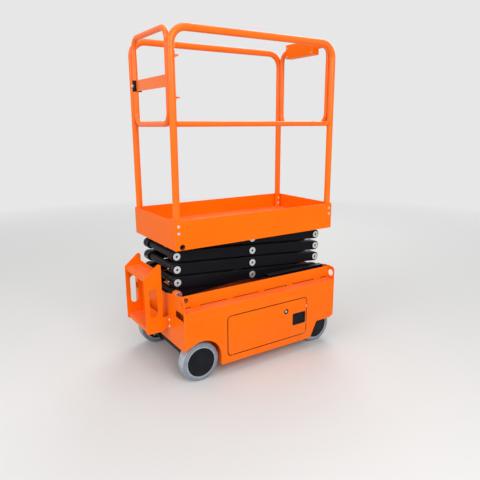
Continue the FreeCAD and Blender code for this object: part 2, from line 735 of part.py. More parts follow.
def make_side_panels():
    rear, front = -half_length, half_length
    # x, z, corner radius
    outline = [
        (rear, axle_z + size["arch_corner_rise"], 3),
        (arch_front, axle_z + size["wheel_radius"] + size["arch_rise"], arch_round),
        (arch_front, sill, 6),
        (cutout_foot, sill, 12),
        (cutout_foot + size["cutout_slope"], size["cutout_height"], 18),
        (front - size["nose_chamfer"], size["cutout_height"], 14),
        (front, size["nose_height"], 4),
        (front, deck, 0),
        (rear, deck, 0),
    ]
    opening = rectangle(door_rear, door_front, door_low, door_high, size["door_corner"])
    crease = deck - size["crease_drop"]
    pivot_inside = half_width - size["door_pivot_depth"]
    lug_thick, lug_half = size["pivot_lug_thick"], size["pivot_lug_half"]
    for name, side in SIDES:
        panel = pad(f"panel_{name}", "XZ", outline, skin, holes=[opening])
        place(panel, 0, half_width if side > 0 else skin - half_width, 0)
        groove = box((rear - 1, front + 1), span(side, half_width - size["crease_depth"], half_width + 1),
                     (crease, crease + size["crease_width"]))
        sheet_part = cut(panel, [groove])
        pivot = (door_pivot_x, size_of(side) * pivot_inside)
        lug_x = (door_pivot_x - lug_half, door_pivot_x + lug_half)
        lug_y = span(side, pivot_inside, half_width - skin)
        lugs = []
        for low in (door_low - lug_thick * 2, door_high + lug_thick):
            high = low + lug_thick
            lug = fuse([box(lug_x, lug_y, (low, high)), rod("z", pivot, low, high, lug_half)])
            bore = rod("z", pivot, low - 1, high + 1, size["pivot_pin_radius"] + size["pin_play"])
            lugs.append(cut(lug, [bore]))
        node(f"side_panel_{name}", fuse([sheet_part] + lugs))


def make_doors():
    gap = size["door_gap"]
    rear, front = door_rear + gap, door_front - gap
    low, high = door_low + gap, door_high - gap
    leaf_outline = rectangle(rear, front, low, high, size["door_corner"] - gap)
    port = rectangle(*port_x, *port_z, size["port_corner"])
    tube = size["pivot_tube_radius"]
    tube_span = (low + size["pivot_tube_short"], high - size["pivot_tube_short"])
    past = size["pivot_lug_thick"] * 2 + size["pivot_pin_past"]
    pin_span = (door_low - past, door_high + past)
    pivot_inside = half_width - size["door_pivot_depth"]
    for name, side in SIDES:
        leaf = pad(f"leaf_{name}", "XZ", leaf_outline, skin, holes=[port],
                   circles=[(lock_x, lock_z, size["lock_radius"])])
        place(leaf, 0, half_width if side > 0 else skin - half_width, 0)
        pivot = (door_pivot_x, size_of(side) * pivot_inside)
        strip_x = (door_pivot_x - tube / 2, door_pivot_x + tube / 2)
        parts = [
            leaf,
            rod("z", pivot, *tube_span, tube),
            box(strip_x, span(side, pivot_inside, half_width - skin), tube_span),
            rod("z", pivot, *pin_span, size["pivot_pin_radius"]),
        ]
        node(f"door_{name}", fuse(parts))
        lock_span = span(side, half_width - size["lock_depth"], half_width)
        lock = rod("y", (lock_x, lock_z), *lock_span, size["lock_radius"])
        node(f"door_fittings_{name}", group([make_port(name, side, port), lock]))


PORT_SLATS = 4


def make_port(name, side, outline):
    # a moulded tray with slats across it
    tray = pad(f"tray_{name}", "XZ", outline, size["port_depth"])
    place(tray, 0, half_width if side > 0 else size["port_depth"] - half_width, 0)
    rim = size["port_rim"]
    inside_x = (port_x[0] + rim, port_x[1] - rim)
    inside_z = (port_z[0] + rim, port_z[1] - rim)
    floor = half_width - size["port_depth"] + size["port_floor"]
    recess = box(inside_x, span(side, floor, half_width + 1), inside_z)
    pitch = (inside_z[1] - inside_z[0]) / (PORT_SLATS + 1)
    slats = []
    for index in range(1, PORT_SLATS + 1):
        middle = inside_z[0] + pitch * index
        slats.append(box(inside_x, span(side, floor, half_width - size["port_floor"]),
                         (middle - size["slat_half"], middle + size["slat_half"])))
    return fuse([cut(tray, [recess])] + slats)


LONG_SLOTS = 4


def make_well_walls():
    # two side walls between the end plates, with a row of slots along their foot
    end = half_length - size["end_slot_inset"]
    end_inner = end - size["end_slot_length"]
    row_end = end_inner - size["end_slot_gap"]
    gap = size["foot_slot_gap"]
    length = (row_end * 2 - gap * (LONG_SLOTS - 1)) / LONG_SLOTS
    slots = [(-end, -end_inner), (end_inner, end)]
    for index in range(LONG_SLOTS):
        start = (length + gap) * index - row_end
        slots.append((start, start + length))
    slot_z = (deck + size["foot_slot_low"], deck + size["foot_slot_low"] + size["foot_slot_tall"])
    reach = (plate - half_length, half_length - plate)
    walls = []
    for name, side in SIDES:
        wall = box(reach, span(side, well_half, well_half + skin), (deck, wall_top))
        through = span(side, well_half - 1, well_half + skin + 1)
        holes = [box(slot, through, slot_z) for slot in slots]
        holes.append(rod("y", (rear_pin_x, level_height(LEVELS)), *through, size["pin_hole_radius"]))
        walls.append(cut(wall, holes))
    node("well_walls", group(walls))


def make_tracks():
    # channels that open towards the middle and hold the rollers between their flanges
    clear = size["roller_radius"] + size["track_play"]
    rows = (
        ("slide_tracks", LEVELS, deck, half_length - size["track_end_gap"]),
        ("platform_tracks", 0, pan_low, platform_front - size["track_nose_gap"]),
    )
    for node_name, level, seat, front in rows:
        low = level_height(level) - clear - plate
        high = level_height(level) + clear + plate
        bar = (seat, low) if level == LEVELS else (high, seat)
        reach = (track_rear, front)
        parts = []
        for name, side in SIDES:
            whole = span(side, track_inner, track_outer)
            parts.append(fuse([
                box(reach, whole, (low, low + plate)),
                box(reach, whole, (high - plate, high)),
                box(reach, span(side, track_outer - plate, track_outer), (low, high)),
                box(reach, span(side, track_inner + size["track_seat_inset"], track_outer), bar),
            ]))
            if level == 0:
                parts.append(make_platform_bracket(side))
        node(node_name, group(parts))


def make_platform_bracket(side):
    # hangs from the platform's pan in line with the inner arms and holds the top pin
    plane = (inner_plane[0] + size["bracket_inset"], inner_plane[1] - size["bracket_inset"])
    return cut(lug_arm(side, plane, pan_low, level_height(0)), [pin_bore(side, plane, level_height(0))])


def make_ladder():
    rear = ladder_rear
    front = -half_length - size["ladder_standoff"]
    low = lower_step - size["ladder_drop"]
    foot_low = low + size["foot_rise"]
    foot_top = foot_low + size["foot_tall"]
    # x, z, corner radius
    outline = [
        (rear, low, 12), (front, low, 20), (front + 12, foot_low, 8), (-half_length, foot_low, 2),
        (-half_length, foot_top, 2), (front, foot_top, 6), (front, upper_step + size["ladder_horn"], 15),
        (rear, upper_step + size["shoulder_rise"], 10),
    ]
    slot_x = (rear + front) / 2
    grip = rectangle(slot_x - size["grip_half"], slot_x + size["grip_half"], lower_step + size["grip_margin"],
                     upper_step - size["grip_margin"], size["grip_half"] - 1)
    half = size["ladder_half"]
    foot_x = (-half_length - plate, -half_length)
    parts = []
    for name, side in SIDES:
        side_plate = pad(f"ladder_side_{name}", "XZ", outline, plate, holes=[grip])
        place(side_plate, 0, half if side > 0 else plate - half, 0)
        parts.append(side_plate)
        foot_y = span(side, half - plate, half + size["foot_flange"])
        parts.append(box(foot_x, foot_y, (foot_low, foot_top)))
    inner = (plate - half, half - plate)
    lip = rear + size["step_inset"]
    for height in (upper_step, lower_step):
        parts.append(box((lip, front), inner, (height - skin, height)))
        parts.append(box((lip, lip + skin), inner, (height - size["step_lip"], height)))
    window_y = (inner[0] + size["window_side"], inner[1] - size["window_side"])
    window_z = (lower_step + size["window_low"], upper_step - size["window_high"])
    window = rectangle(*window_y, *window_z, size["window_round"])
    back_outline = rectangle(*inner, low + size["back_low"], upper_step + size["back_high"], 2)
    back = pad("ladder_back", "YZ", back_outline, skin, holes=[window])
    parts.append(place(back, front - skin, 0, 0))
    node("ladder", fuse(parts))


def make_rear_axle():
    # a beam between the webs with a wheel motor at each end
    x, z = rear_wheel_x, axle_z
    web = axle_web_y - plate / 2
    motor_inner = web - size["motor_length"]
    half = size["axle_beam_half"]
    beam_end = motor_inner + size["motor_flange"]
    parts = [box((x - half, x + half), (-beam_end, beam_end), (z - half, z + half))]
    for name, side in SIDES:
        parts.append(rod("y", (x, z), *span(side, motor_inner, web), size["motor_radius"]))
        flange = span(side, web - size["motor_flange"], web)
        parts.append(rod("y", (x, z), *flange, size["motor_radius"] + size["motor_rim"]))
        stub = span(side, motor_inner, rear_wheel_y + size["stub_past"])
        parts.append(rod("y", (x, z), *stub, size["stub_radius"]))
    node("rear_axle", fuse(parts))


def make_front_axle():
    # a beam hung from the deck's webs, with a yoke at each end that holds the kingpin
    x, z = front_wheel_x, axle_z
    half = size["front_beam_half"]
    yoke_half = size["knuckle_half"] + size["yoke_thick"]
    cheek = kingpin_y - half - size["yoke_thick"]
    depth = (x - half, x + half)
    web = kingpin_y - size["front_web_offset"]
    hanger_top = z + size["front_web_rise"] + size["hanger_lap"]
    parts = [box(depth, (-cheek, cheek), (z - half, z + half))]
    for name, side in SIDES:
        yoke = span(side, cheek - size["yoke_thick"], cheek)
        parts.append(box(depth, yoke, (z - yoke_half, z + yoke_half)))
        hanger = span(side, web - size["hanger_thick"], web)
        parts.append(box(depth, hanger, (z + half / 2, hanger_top)))
        king = (x, size_of(side) * kingpin_y)
        for low in (z - yoke_half, z + size["knuckle_half"]):
            high = low + size["yoke_thick"]
            parts.append(box(depth, span(side, cheek - size["yoke_thick"] / 2, kingpin_y), (low, high)))
            parts.append(rod("z", king, low, high, half))
        parts.append(rod("z", king, z - yoke_half, z + yoke_half, size["kingpin_radius"]))
    node("front_axle", fuse(parts))


def make_steering():
    x, z = front_wheel_x, axle_z
    play = size["side_play"]
    rod_x = x - size["steer_arm_length"]
    arm_low = z - size["steer_arm_drop"]
    arm_high = arm_low + size["steer_arm_thick"]
    eye_low = arm_high + play
    eye_high = eye_low + size["steer_arm_thick"]
    half = size["knuckle_half"] - play
    eye_radius = size["steer_eye_radius"]
    for name, side in SIDES:
        king = (x, size_of(side) * kingpin_y)
        pin = (rod_x, size_of(side) * kingpin_y)
        flange = span(side, kingpin_y, front_wheel_y - size["tyre_width"] / 2 - play)
        stub = span(side, kingpin_y, front_wheel_y + size["stub_past"])
        arm = span(side, kingpin_y - size["steer_arm_half"], kingpin_y + size["steer_arm_half"])
        body = fuse([
            rod("z", king, z - half, z + half, size["knuckle_radius"]),
            rod("y", (x, z), *flange, size["knuckle_flange"]),
            rod("y", (x, z), *stub, size["stub_radius"]),
            box((rod_x, x), arm, (arm_low, arm_high)),
            rod("z", pin, arm_low, arm_high, eye_radius - 2),
            rod("z", pin, arm_low, eye_high + size["steer_pin_past"], size["steer_pin_radius"]),
        ])
        bore = rod("z", king, z - half - 1, z + half + 1, size["kingpin_radius"] + size["pin_play"])
        node(f"knuckle_{name}", cut(body, [bore]))
    reach = kingpin_y - eye_radius + 2
    parts = [rod("y", (rod_x, (eye_low + eye_high) / 2), -reach, reach, size["tie_rod_radius"])]
    bores = []
    for name, side in SIDES:
        eye = (rod_x, size_of(side) * kingpin_y)
        parts.append(rod("z", eye, eye_low, eye_high, eye_radius))
        play_here = size["pin_play"] if side < 0 else size["side_play"]
        bores.append(rod("z", eye, eye_low - 1, eye_high + 1, size["steer_pin_radius"] + play_here))
    node("tie_rod", cut(fuse(parts), bores))


def make_wheels():
    half = size["tyre_width"] / 2
    rim = size["rim_radius"]
    outer = size["wheel_radius"]
    taper = size["wall_taper"]
    # distance outwards, radius, corner radius
    tyre = [(-half, rim, 0), (taper - half, outer, 0), (half - taper, outer, 0), (half, rim, 0)]
    bore = size["stub_radius"] + size["pin_play"]
    boss = bore + size["hub_wall"]
    web = -size["hub_web_back"]
    cap_rear = half - size["hub_cap_thick"]
    chamfer = size["hub_chamfer"]
    hub = [
        (-half, bore, 0), (-half, boss, 0), (web, boss, 0), (web, rim - size["hub_rim_wall"], 0),
        (-half, rim - size["hub_lip_wall"], 0), (-half, rim, 0), (half - chamfer, rim, 0),
        (half, rim - chamfer, 0), (half, 0, 0), (cap_rear, 0, 0), (cap_rear, bore, 0),
    ]
    axles = (("rear", rear_wheel_x, rear_wheel_y), ("front", front_wheel_x, front_wheel_y))
    for place_name, x, y in axles:
        for name, side in SIDES:
            spot = (x, size_of(side) * y, axle_z)
            node(f"tyre_{place_name}_{name}", turned("tyre", tyre, side), *spot)
            node(f"hub_{place_name}_{name}", turned("hub", hub, side), *spot)


def arm_pair(plane):
    # two like arms lying along X from the pin at the origin, with ends all but half round
    bore = size["pin_radius"] + size["pin_play"]
    outline = rectangle(-arm_round, arm_length + arm_round, -arm_round, arm_round, arm_round - 0.5)
    circles = [(0, 0, bore), (arm_length / 2, 0, bore), (arm_length, 0, bore)]
    arms = []
    for name, side in SIDES:
        arm = pad(f"arm_{name}", "XZ", outline, size["arm_width"], circles=circles)
        arms.append(place(arm, 0, span(side, *plane)[1], 0))
    return arms


def tilt(thing, name, x, height, angle):
    thing.Label = name
    thing.Placement = Placement(Vector(), Rotation(Vector(0, 1, 0), angle.value))
    bind(thing, "Placement.Rotation.Angle", angle)
    place(thing, size_of(x) + origin_shift, 0, height)
    nodes[name] = thing


def make_arms():
    half = inner_plane[0]
    for pair in range(1, LEVELS + 1):
        inner = arm_pair(inner_plane)
        for along in (size_of(0), arm_length):
            inner.append(rod("y", (along, 0), -half, half, size["cross_tube_radius"]))
        if pair == LEVELS:
            inner.append(rod("y", (size["cylinder_foot"], 0), -half, half, size["foot_pin_radius"]))
        if pair == LEVELS - 1:
            inner += make_cylinder_cheeks()
        # an inner arm climbs from its rear pin at the lower level to the front
        tilt(fuse(inner), f"inner_arms_{pair}", rear_pin_x, level_height(pair), -arm_tilt)
        tilt(group(arm_pair(outer_plane)), f"outer_arms_{pair}", rear_pin_x, level_height(pair - 1), arm_tilt)


def make_cylinder_cheeks():
    # two cheeks run back from the front cross tube and hold the ends of the head pin
    head = arm_length - size["cylinder_head"]
    inner = size["eye_half_width"] + size["cheek_gap"]
    half = size["cheek_half_depth"]
    parts = []
    for name, side in SIDES:
        cheek = span(side, inner, inner + size["cheek_thick"])
        pin = span(side, inner, inner + size["cheek_thick"] + size["head_pin_past"])
        parts.append(box((head, arm_length), cheek, (-half, half)))
        parts.append(rod("y", (head, 0), *cheek, size["cheek_end_radius"]))
        parts.append(rod("y", (head, 0), *pin, size["head_pin_radius"]))
    return parts


def pin_with_head(x, height, side):
    # from inside the inner arm's bore out to its head
    start = inner_plane[0] + size["pin_recess"]
    face = outer_plane[1] + size["pin_head_thick"]
    pin = fuse([
        rod("y", (x, height), *span(side, start, outer_plane[1]), size["pin_radius"]),
        rod("y", (x, height), *span(side, outer_plane[1], face), size["pin_head_radius"]),
    ])
    dimple = span(side, face - size["dimple_depth"], face + 1)
    return cut(pin, [rod("y", (x, height), *dimple, size["dimple_radius"])])


def roller_pin(x, height, side, plane):
    # through the arm in this plane, a spacer, and the roller in its track
    roller_in = track_inner + size["roller_side_play"]
    roller_out = roller_in + size["roller_width"]
    start = plane[0] + size["pin_recess"]
    spacer = span(side, plane[1] + size["side_play"], roller_in)
    return fuse([
        rod("y", (x, height), *span(side, start, roller_out), size["pin_radius"]),
        rod("y", (x, height), *spacer, size["pin_radius"] + size["spacer_wall"]),
        rod("y", (x, height), *span(side, roller_in, roller_out), size["roller_radius"]),
    ])


def make_pins():
    for pair in range(1, LEVELS + 1):
        solids = []
        for name, side in SIDES:
            solids.append(pin_with_head(rear_pin_x, level_height(pair - 1), side))
            solids.append(pin_with_head(size_of(0), level_height(pair - 0.5), side))
            if pair < LEVELS:
                solids.append(pin_with_head(front_pin_x, level_height(pair), side))
            else:
                solids.append(roller_pin(front_pin_x, level_height(pair), side, outer_plane))
        node(f"pins_{pair}", group(solids))
    node("base_pins", group([pin_with_head(rear_pin_x, level_height(LEVELS), side) for name, side in SIDES]))
    top = [roller_pin(front_pin_x, level_height(0), side, inner_plane) for name, side in SIDES]
    node("top_rollers", group(top))


def make_cylinder():
    # drawn along X from its foot, then tilted to meet its head on the arm above
    foot = size["cylinder_foot"]
    gap = arm_length - size["cylinder_head"] - foot
    run = gap * arm_run / arm_length
    rise = (arm_length + gap) * level_step / arm_length
    closed = root(run * run + rise * rise)
    angle = angle_of(rise, run)
    foot_x = rear_pin_x + foot * arm_run / arm_length
    foot_z = level_height(LEVELS) + foot * level_step / arm_length
    mouth = closed - size["rod_showing"]
    half = size["eye_half_width"]
    radius = size["barrel_radius"]
    floor = size["barrel_floor"]
    barrel = fuse([
        rod("y", (0, 0), -half, half, size["eye_radius"]),
        rod("x", (0, 0), size_of(0), mouth, radius),
    ])
    hollow = [
        rod("y", (0, 0), -radius - 1, radius + 1, size["foot_pin_radius"] + size["pin_play"]),
        rod("x", (0, 0), floor, mouth - size["gland_length"], size["bore_radius"]),
        rod("x", (0, 0), floor, mouth + 1, size["rod_radius"] + size["pin_play"]),
    ]
    tilt(cut(barrel, hollow), "cylinder_barrel", foot_x, foot_z, -angle)
    piston = floor + size["piston_gap"]
    moving = [
        rod("x", (0, 0), piston, closed - size["head_pin_radius"], size["rod_radius"]),
        rod("x", (0, 0), piston, piston + size["piston_length"], size["bore_radius"] - size["pin_play"]),
        rod("y", (closed, 0), -half, half, size["eye_radius"]),
    ]
    bore = rod("y", (closed, 0), -half - 1, half + 1, size["head_pin_radius"] + size["pin_play"])
    tilt(cut(fuse(moving), [bore]), "cylinder_rod", foot_x, foot_z, -angle)


def make_masses():
    # plain blocks for the heavy units behind the doors
    low = sill + plate
    inner = bay_web_y + plate / 2 + size["pack_web_gap"]
    outer = half_width - size["pack_door_gap"]
    for name, unit, side in (("battery_pack", "battery", -1), ("pump_unit", "pump", 1)):
        x = (bay_rear + size[f"{unit}_rear_gap"], bay_front - size[f"{unit}_front_gap"])
        y = span(side, inner, outer)
        block = box(x, y, (low, low + size[f"{unit}_tall"]))
        node(name, block, x[0], y[0], low)


def make_platform_tray():
    # skirts round a pan
    rear, front, half = platform_rear, platform_front, platform_half
    outer = box((rear, front), (-half, half), (skirt_low, skirt_top))
    inside = ((rear + skin, front - skin), (-half + skin, half - skin))
    tools = [
        box(*inside, (pan_top, skirt_top + 1)),
        box(*inside, (skirt_low - 1, pan_low)),
    ]
    hole_z = level_height(0) - size["skirt_hole_drop"]
    for name, side in SIDES:
        through = span(side, half - skin - 1, half + 1)
        tools.append(rod("y", (rear_pin_x, hole_z), *through, size["skirt_hole_radius"]))
    node("platform_tray", cut(outer, tools))


def make_floor_sheet():
    # lies on the tray's pan, notched round the four posts
    play = size["side_play"]
    rear, front = platform_rear + skin + play, platform_front - skin - play
    side = platform_half - skin - play
    reach = size["post_radius"] + size["post_clear"]
    post_rear, post_front, post_side = rear_post_x + reach, front_post_x - reach, post_y - reach
    outline = []
    for u, v in ((1, -1), (1, 1), (-1, 1), (-1, -1)):
        edge_x, notch_x = (front, post_front) if u > 0 else (rear, post_rear)
        edge_y, notch_y = side * v, post_side * v
        notch = [(notch_x, edge_y, 0), (notch_x, notch_y, size["notch_round"]), (edge_x, notch_y, 0)]
        outline += notch if u * v < 0 else notch[::-1]
    node("floor_sheet", pad("floor_sheet", "XY", outline, skin), 0, 0, pan_top)


def make_side_rails():
    path = [(rear_post_x, pan_top, 0), (rear_post_x, rail_z, size["rail_bend"]),
            (front_post_x, rail_z, size["rail_bend"]), (front_post_x, pan_top, 0)]
    for name, side in SIDES:
        y = size_of(side) * post_y
        frame = bent_tube(f"frame_{name}", "XZ", path, "XY", size["post_radius"])
        place(frame, 0, y, 0)
        parts = [frame, rod("x", (y, mid_rail_z), rear_post_x, front_post_x, size["mid_rail_radius"])]
        if side < 0:
            parts += make_gate_lugs()
        node(f"side_rail_{name}", fuse(parts))


def gate_pivot():
    return rear_post_x + size["gate_pivot_forward"], -post_y + size["gate_pivot_side"]


def gate_hinges():
    return mid_rail_z + size["gate_hinge_low"], rail_z - size["gate_hinge_high"]


def make_gate_lugs():
    # tabs on the rear right post, each holding a hinge pin that points up
    pivot_x, pivot_y = gate_pivot()
    eye, tall = size["gate_eye_radius"], size["gate_eye_tall"]
    half_post = size["post_radius"] / 2
    parts = []
    for height in gate_hinges():
        seat = (height - tall, height)
        parts.append(box((rear_post_x, pivot_x + eye), (-post_y - half_post, -post_y + half_post), seat))
        parts.append(box((pivot_x - eye, pivot_x + eye), (-post_y, pivot_y), seat))
        parts.append(rod("z", (pivot_x, pivot_y), *seat, eye))
        pin = (height, height + size["gate_pin_rise"])
        parts.append(rod("z", (pivot_x, pivot_y), *pin, size["gate_pin_radius"]))
    return parts


def loop_tube(name, half, low, high):
    # one half of a closed loop in the YZ plane, mirrored
    path = [(0, low, 0), (half, low, size["loop_bend"]), (half, high, size["loop_bend"]), (0, high, 0)]
    return bent_tube(name, "YZ", path, "XZ", size["loop_radius"], mirrored="XZ")


def loop_heights():
    return mid_rail_z, rail_z + size["post_radius"] - size["loop_radius"]


def make_front_loop():
    half = post_y - size["post_radius"] - size["loop_gap"] - size["loop_radius"]
    low, high = loop_heights()
    parts = [place(loop_tube("front_loop", half, low, high), front_post_x, 0, 0)]
    inset, half_tall, half_thick = size["loop_tab_inset"], size["loop_tab_half"], size["loop_tab_thick"] / 2
    for name, side in SIDES:
        for height in (low + inset, high - inset):
            tab = span(side, half, post_y - size["post_radius"])
            parts.append(box((front_post_x - half_thick, front_post_x + half_thick), tab,
                             (height - half_tall, height + half_tall)))
    node("front_rail", fuse(parts))


def make_gate():
    # a loop with a cross plate between its uprights and two hinge eyes
    half = post_y - size["post_radius"] - size["gate_gap"] - size["loop_radius"]
    plate_low = mid_rail_z + size["gate_plate_rise"]
    cross_x = (rear_post_x - skin / 2, rear_post_x + skin / 2)
    parts = [
        place(loop_tube("gate_loop", half, *loop_heights()), rear_post_x, 0, 0),
        box(cross_x, (-half, half), (plate_low, plate_low + size["gate_plate_tall"])),
    ]
    pivot_x, pivot_y = gate_pivot()
    bore_radius = size["gate_pin_radius"] + size["pin_play"]
    bores = []
    for height in gate_hinges():
        base = height + size["side_play"]
        top = base + size["gate_eye_tall"]
        parts.append(box((rear_post_x, pivot_x), (pivot_y - size["gate_pin_radius"], -half), (base, top)))
        parts.append(rod("z", (pivot_x, pivot_y), base, top, size["gate_eye_radius"]))
        bores.append(rod("z", (pivot_x, pivot_y), base - 1, top + 1, bore_radius))
    node("gate", cut(fuse(parts), bores))

    # the latch sits on the gate's free upright
    latch_z = plate_low + size["gate_plate_tall"] / 2
    face = rear_post_x + size["loop_radius"]
    bolt = face + (size["latch_depth"] - size["latch_bolt_thick"]) / 2
    edge = half + size["latch_half"]
    latch = [
        box((face, face + size["latch_depth"]), (half - size["latch_half"], edge),
            (latch_z - size["latch_half_tall"], latch_z + size["latch_half_tall"])),
        box((bolt, bolt + size["latch_bolt_thick"]), (edge, edge + size["latch_reach"]),
            (latch_z - size["latch_bolt_half_tall"], latch_z + size["latch_bolt_half_tall"])),
    ]
    node("gate_latch", fuse(latch))


def make_control_box():
    back = front_post_x - size["loop_radius"]
    wall = size["box_wall"]
    top = rail_z + size["box_rise"]
    x = (back - size["box_depth"], back)
    y = (-size["box_right"], size["box_left"])
    z = (top - size["box_tall"], top)
    inside = ((x[0] + wall, x[1] - wall), (y[0] + wall, y[1] - wall))
    node("control_box", cut(box(x, y, z), [box(*inside, (z[0] + wall, top + 1))]))

    # the panel with an emergency stop, a joystick in its boot and a key switch
    panel_top = top - size["panel_set_back"]
    middle_x, middle_y = (x[0] + x[1]) / 2, (y[0] + y[1]) / 2
    pitch = size["control_pitch"]
    # distance along y, name of the radius, name of the height above the box
    controls = (
        (-pitch, "stop_radius", "button_rise"),
        (0, "boot_radius", "boot_rise"),
        (0, "stick_radius", "stick_rise"),
        (pitch, "key_radius", "button_rise"),
    )
    parts = [box(*inside, (panel_top - size["panel_thick"], panel_top))]
    for offset, radius, rise in controls:
        stem = (panel_top - size["panel_thick"] / 2, top + size[rise])
        parts.append(rod("z", (middle_x, middle_y + offset), *stem, size[radius]))
    node("control_panel", fuse(parts))


make_chassis_base()
make_axle_webs()
make_deck()
make_end_plates()
make_side_panels()
make_doors()
make_well_walls()
make_tracks()
make_ladder()
make_rear_axle()
make_front_axle()
make_steering()
make_wheels()
make_arms()
make_pins()
make_cylinder()
make_masses()
make_platform_tray()
make_floor_sheet()
make_side_rails()
make_front_loop()
make_gate()
make_control_box()

doc.recompute()
for thing in doc.Objects:
    if "Invalid" in thing.State or "Error" in thing.State:
        raise RuntimeError(f"{thing.Label} failed: {thing.State}")
for name, thing in nodes.items():
    if thing.Shape.isNull() or not thing.Shape.isValid():
        raise RuntimeError(f"{name} has no valid shape")
for name, thing in nodes.items():
    thing.Shape.exportStep(f"parts/{name}.step")
whole = Part.makeCompound([thing.Shape for thing in nodes.values()]).BoundBox
print(len(nodes), "nodes, box", [round(v, 1) for v in (whole.XLength, whole.YLength, whole.ZLength)])
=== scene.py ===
import json
import math

import bmesh
import bpy
from mathutils import Matrix, Vector
from mathutils.bvhtree import BVHTree


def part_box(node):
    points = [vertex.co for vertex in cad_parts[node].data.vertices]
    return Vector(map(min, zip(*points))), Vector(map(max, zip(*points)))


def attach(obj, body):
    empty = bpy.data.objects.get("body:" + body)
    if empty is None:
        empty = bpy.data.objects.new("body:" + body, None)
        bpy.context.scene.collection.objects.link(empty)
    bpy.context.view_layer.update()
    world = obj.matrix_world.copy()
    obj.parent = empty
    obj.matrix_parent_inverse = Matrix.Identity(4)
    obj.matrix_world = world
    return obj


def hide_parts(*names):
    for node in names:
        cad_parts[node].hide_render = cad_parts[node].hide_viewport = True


# The looks of a compact scissor lift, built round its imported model. Metres, +X forward, +Z up.

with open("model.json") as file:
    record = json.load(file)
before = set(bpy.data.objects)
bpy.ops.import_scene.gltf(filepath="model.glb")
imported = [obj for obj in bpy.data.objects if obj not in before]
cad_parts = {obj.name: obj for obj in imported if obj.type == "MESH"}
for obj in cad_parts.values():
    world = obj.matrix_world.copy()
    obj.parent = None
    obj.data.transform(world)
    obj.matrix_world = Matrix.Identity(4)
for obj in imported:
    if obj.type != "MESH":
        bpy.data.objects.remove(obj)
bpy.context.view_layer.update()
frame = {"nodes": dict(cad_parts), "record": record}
nodes = frame["nodes"]
record = frame["record"]
bodyOf = {name: body for body, names in record["behaviour"]["bodies"].items() for name in names}
slotOf = {entry["node"]: entry["material_slot"] for entry in record["subparts"]}
joints = {entry["name"]: entry for entry in record["behaviour"]["joints"]}
jointAt = {name: Vector(entry["pos_m"]) for name, entry in joints.items() if "pos_m" in entry}
sides = (("right", -1), ("left", 1))
upward = (0, 0, 1)
print("frame loaded:", len(nodes), "nodes")


farRight = 2200   # where a tree's last nodes stand


def plug(tree, value, socket):
    # a socket is linked, anything else becomes the socket's own value
    if isinstance(value, bpy.types.NodeSocket):
        tree.links.new(value, socket)
    else:
        socket.default_value = value


def addNode(tree, kind, inputs=None, **settings):
    # inputs are values or sockets, by the input's name or number; a node stands to the right of its sources
    node = tree.nodes.new(kind)
    for key, value in settings.items():
        setattr(node, key, value)
    column = 0
    for label, value in (inputs or {}).items():
        plug(tree, value, node.inputs[label])
        if isinstance(value, bpy.types.NodeSocket):
            column = max(column, value.node.location.x + 200)
    node.location = (column, -180 * (len(tree.nodes) % 7))
    return node


def newGroup(name, kind, inputs, outputs):
    # each socket's name goes with its type in words, or with a default number that gives the type
    group = bpy.data.node_groups.new(name, f"{kind}NodeTree")
    for direction, rows in (("INPUT", inputs), ("OUTPUT", outputs)):
        for label, value in rows.items():
            typed = value if isinstance(value, str) else type(value).__name__.capitalize()
            socket = group.interface.new_socket(label, in_out=direction, socket_type=f"NodeSocket{typed}")
            if not isinstance(value, str):
                socket.default_value = value
    start, end = addNode(group, "NodeGroupInput"), addNode(group, "NodeGroupOutput")
    end.location.x = farRight
    return group, start.outputs, end.inputs


def newMaterial(name):
    material = bpy.data.materials.new(name)
    material.use_nodes = True
    tree = material.node_tree
    for step, label in enumerate(("Principled BSDF", "Material Output")):
        tree.nodes[label].location = (farRight + 300 * step, 0)
    return material, tree, tree.nodes["Principled BSDF"].inputs


def mathNode(tree, operation, first, second):
    return addNode(tree, "ShaderNodeMath", {0: first, 1: second}, operation=operation).outputs[0]


def product(tree, first, second):
    return mathNode(tree, "MULTIPLY", first, second)


def noise(tree, vector, scale, detail, rough=0.5):
    return addNode(tree, "ShaderNodeTexNoise", {
        "Vector": vector, "Scale": scale, "Detail": detail, "Roughness": rough}).outputs["Fac"]


def ramp(tree, value, low, high):
    # 0 below low, 1 above high
    return addNode(tree, "ShaderNodeMapRange", {
        "Value": value, "From Min": low, "From Max": high}, clamp=True).outputs["Result"]


def mixColor(tree, factor, first, second):
    node = addNode(tree, "ShaderNodeMix", {"Factor": factor}, data_type="RGBA")
    for value, socket in zip((first, second), [s for s in node.inputs if s.type == "RGBA"]):
        linked = isinstance(value, bpy.types.NodeSocket)
        plug(tree, value if linked else (*value, 1), socket)
    return [s for s in node.outputs if s.type == "RGBA"][0]


# Shader groups shared by the finishes

def makeCoatGroup():
    # sprayed or moulded surface: a fine peel and a slow change of shade
    group, start, end = newGroup(
        "sprayedCoat", "Shader", {"Vector": "Vector", "Peel Scale": 420.0, "Shade Scale": 2.2},
        {"Height": "Float", "Shade": "Float"})
    peel = noise(group, start["Vector"], start["Peel Scale"], 2)
    shade = noise(group, start["Vector"], start["Shade Scale"], 4, 0.6)
    plug(group, peel, end["Height"])
    plug(group, ramp(group, shade, 0.3, 0.7), end["Shade"])
    return group


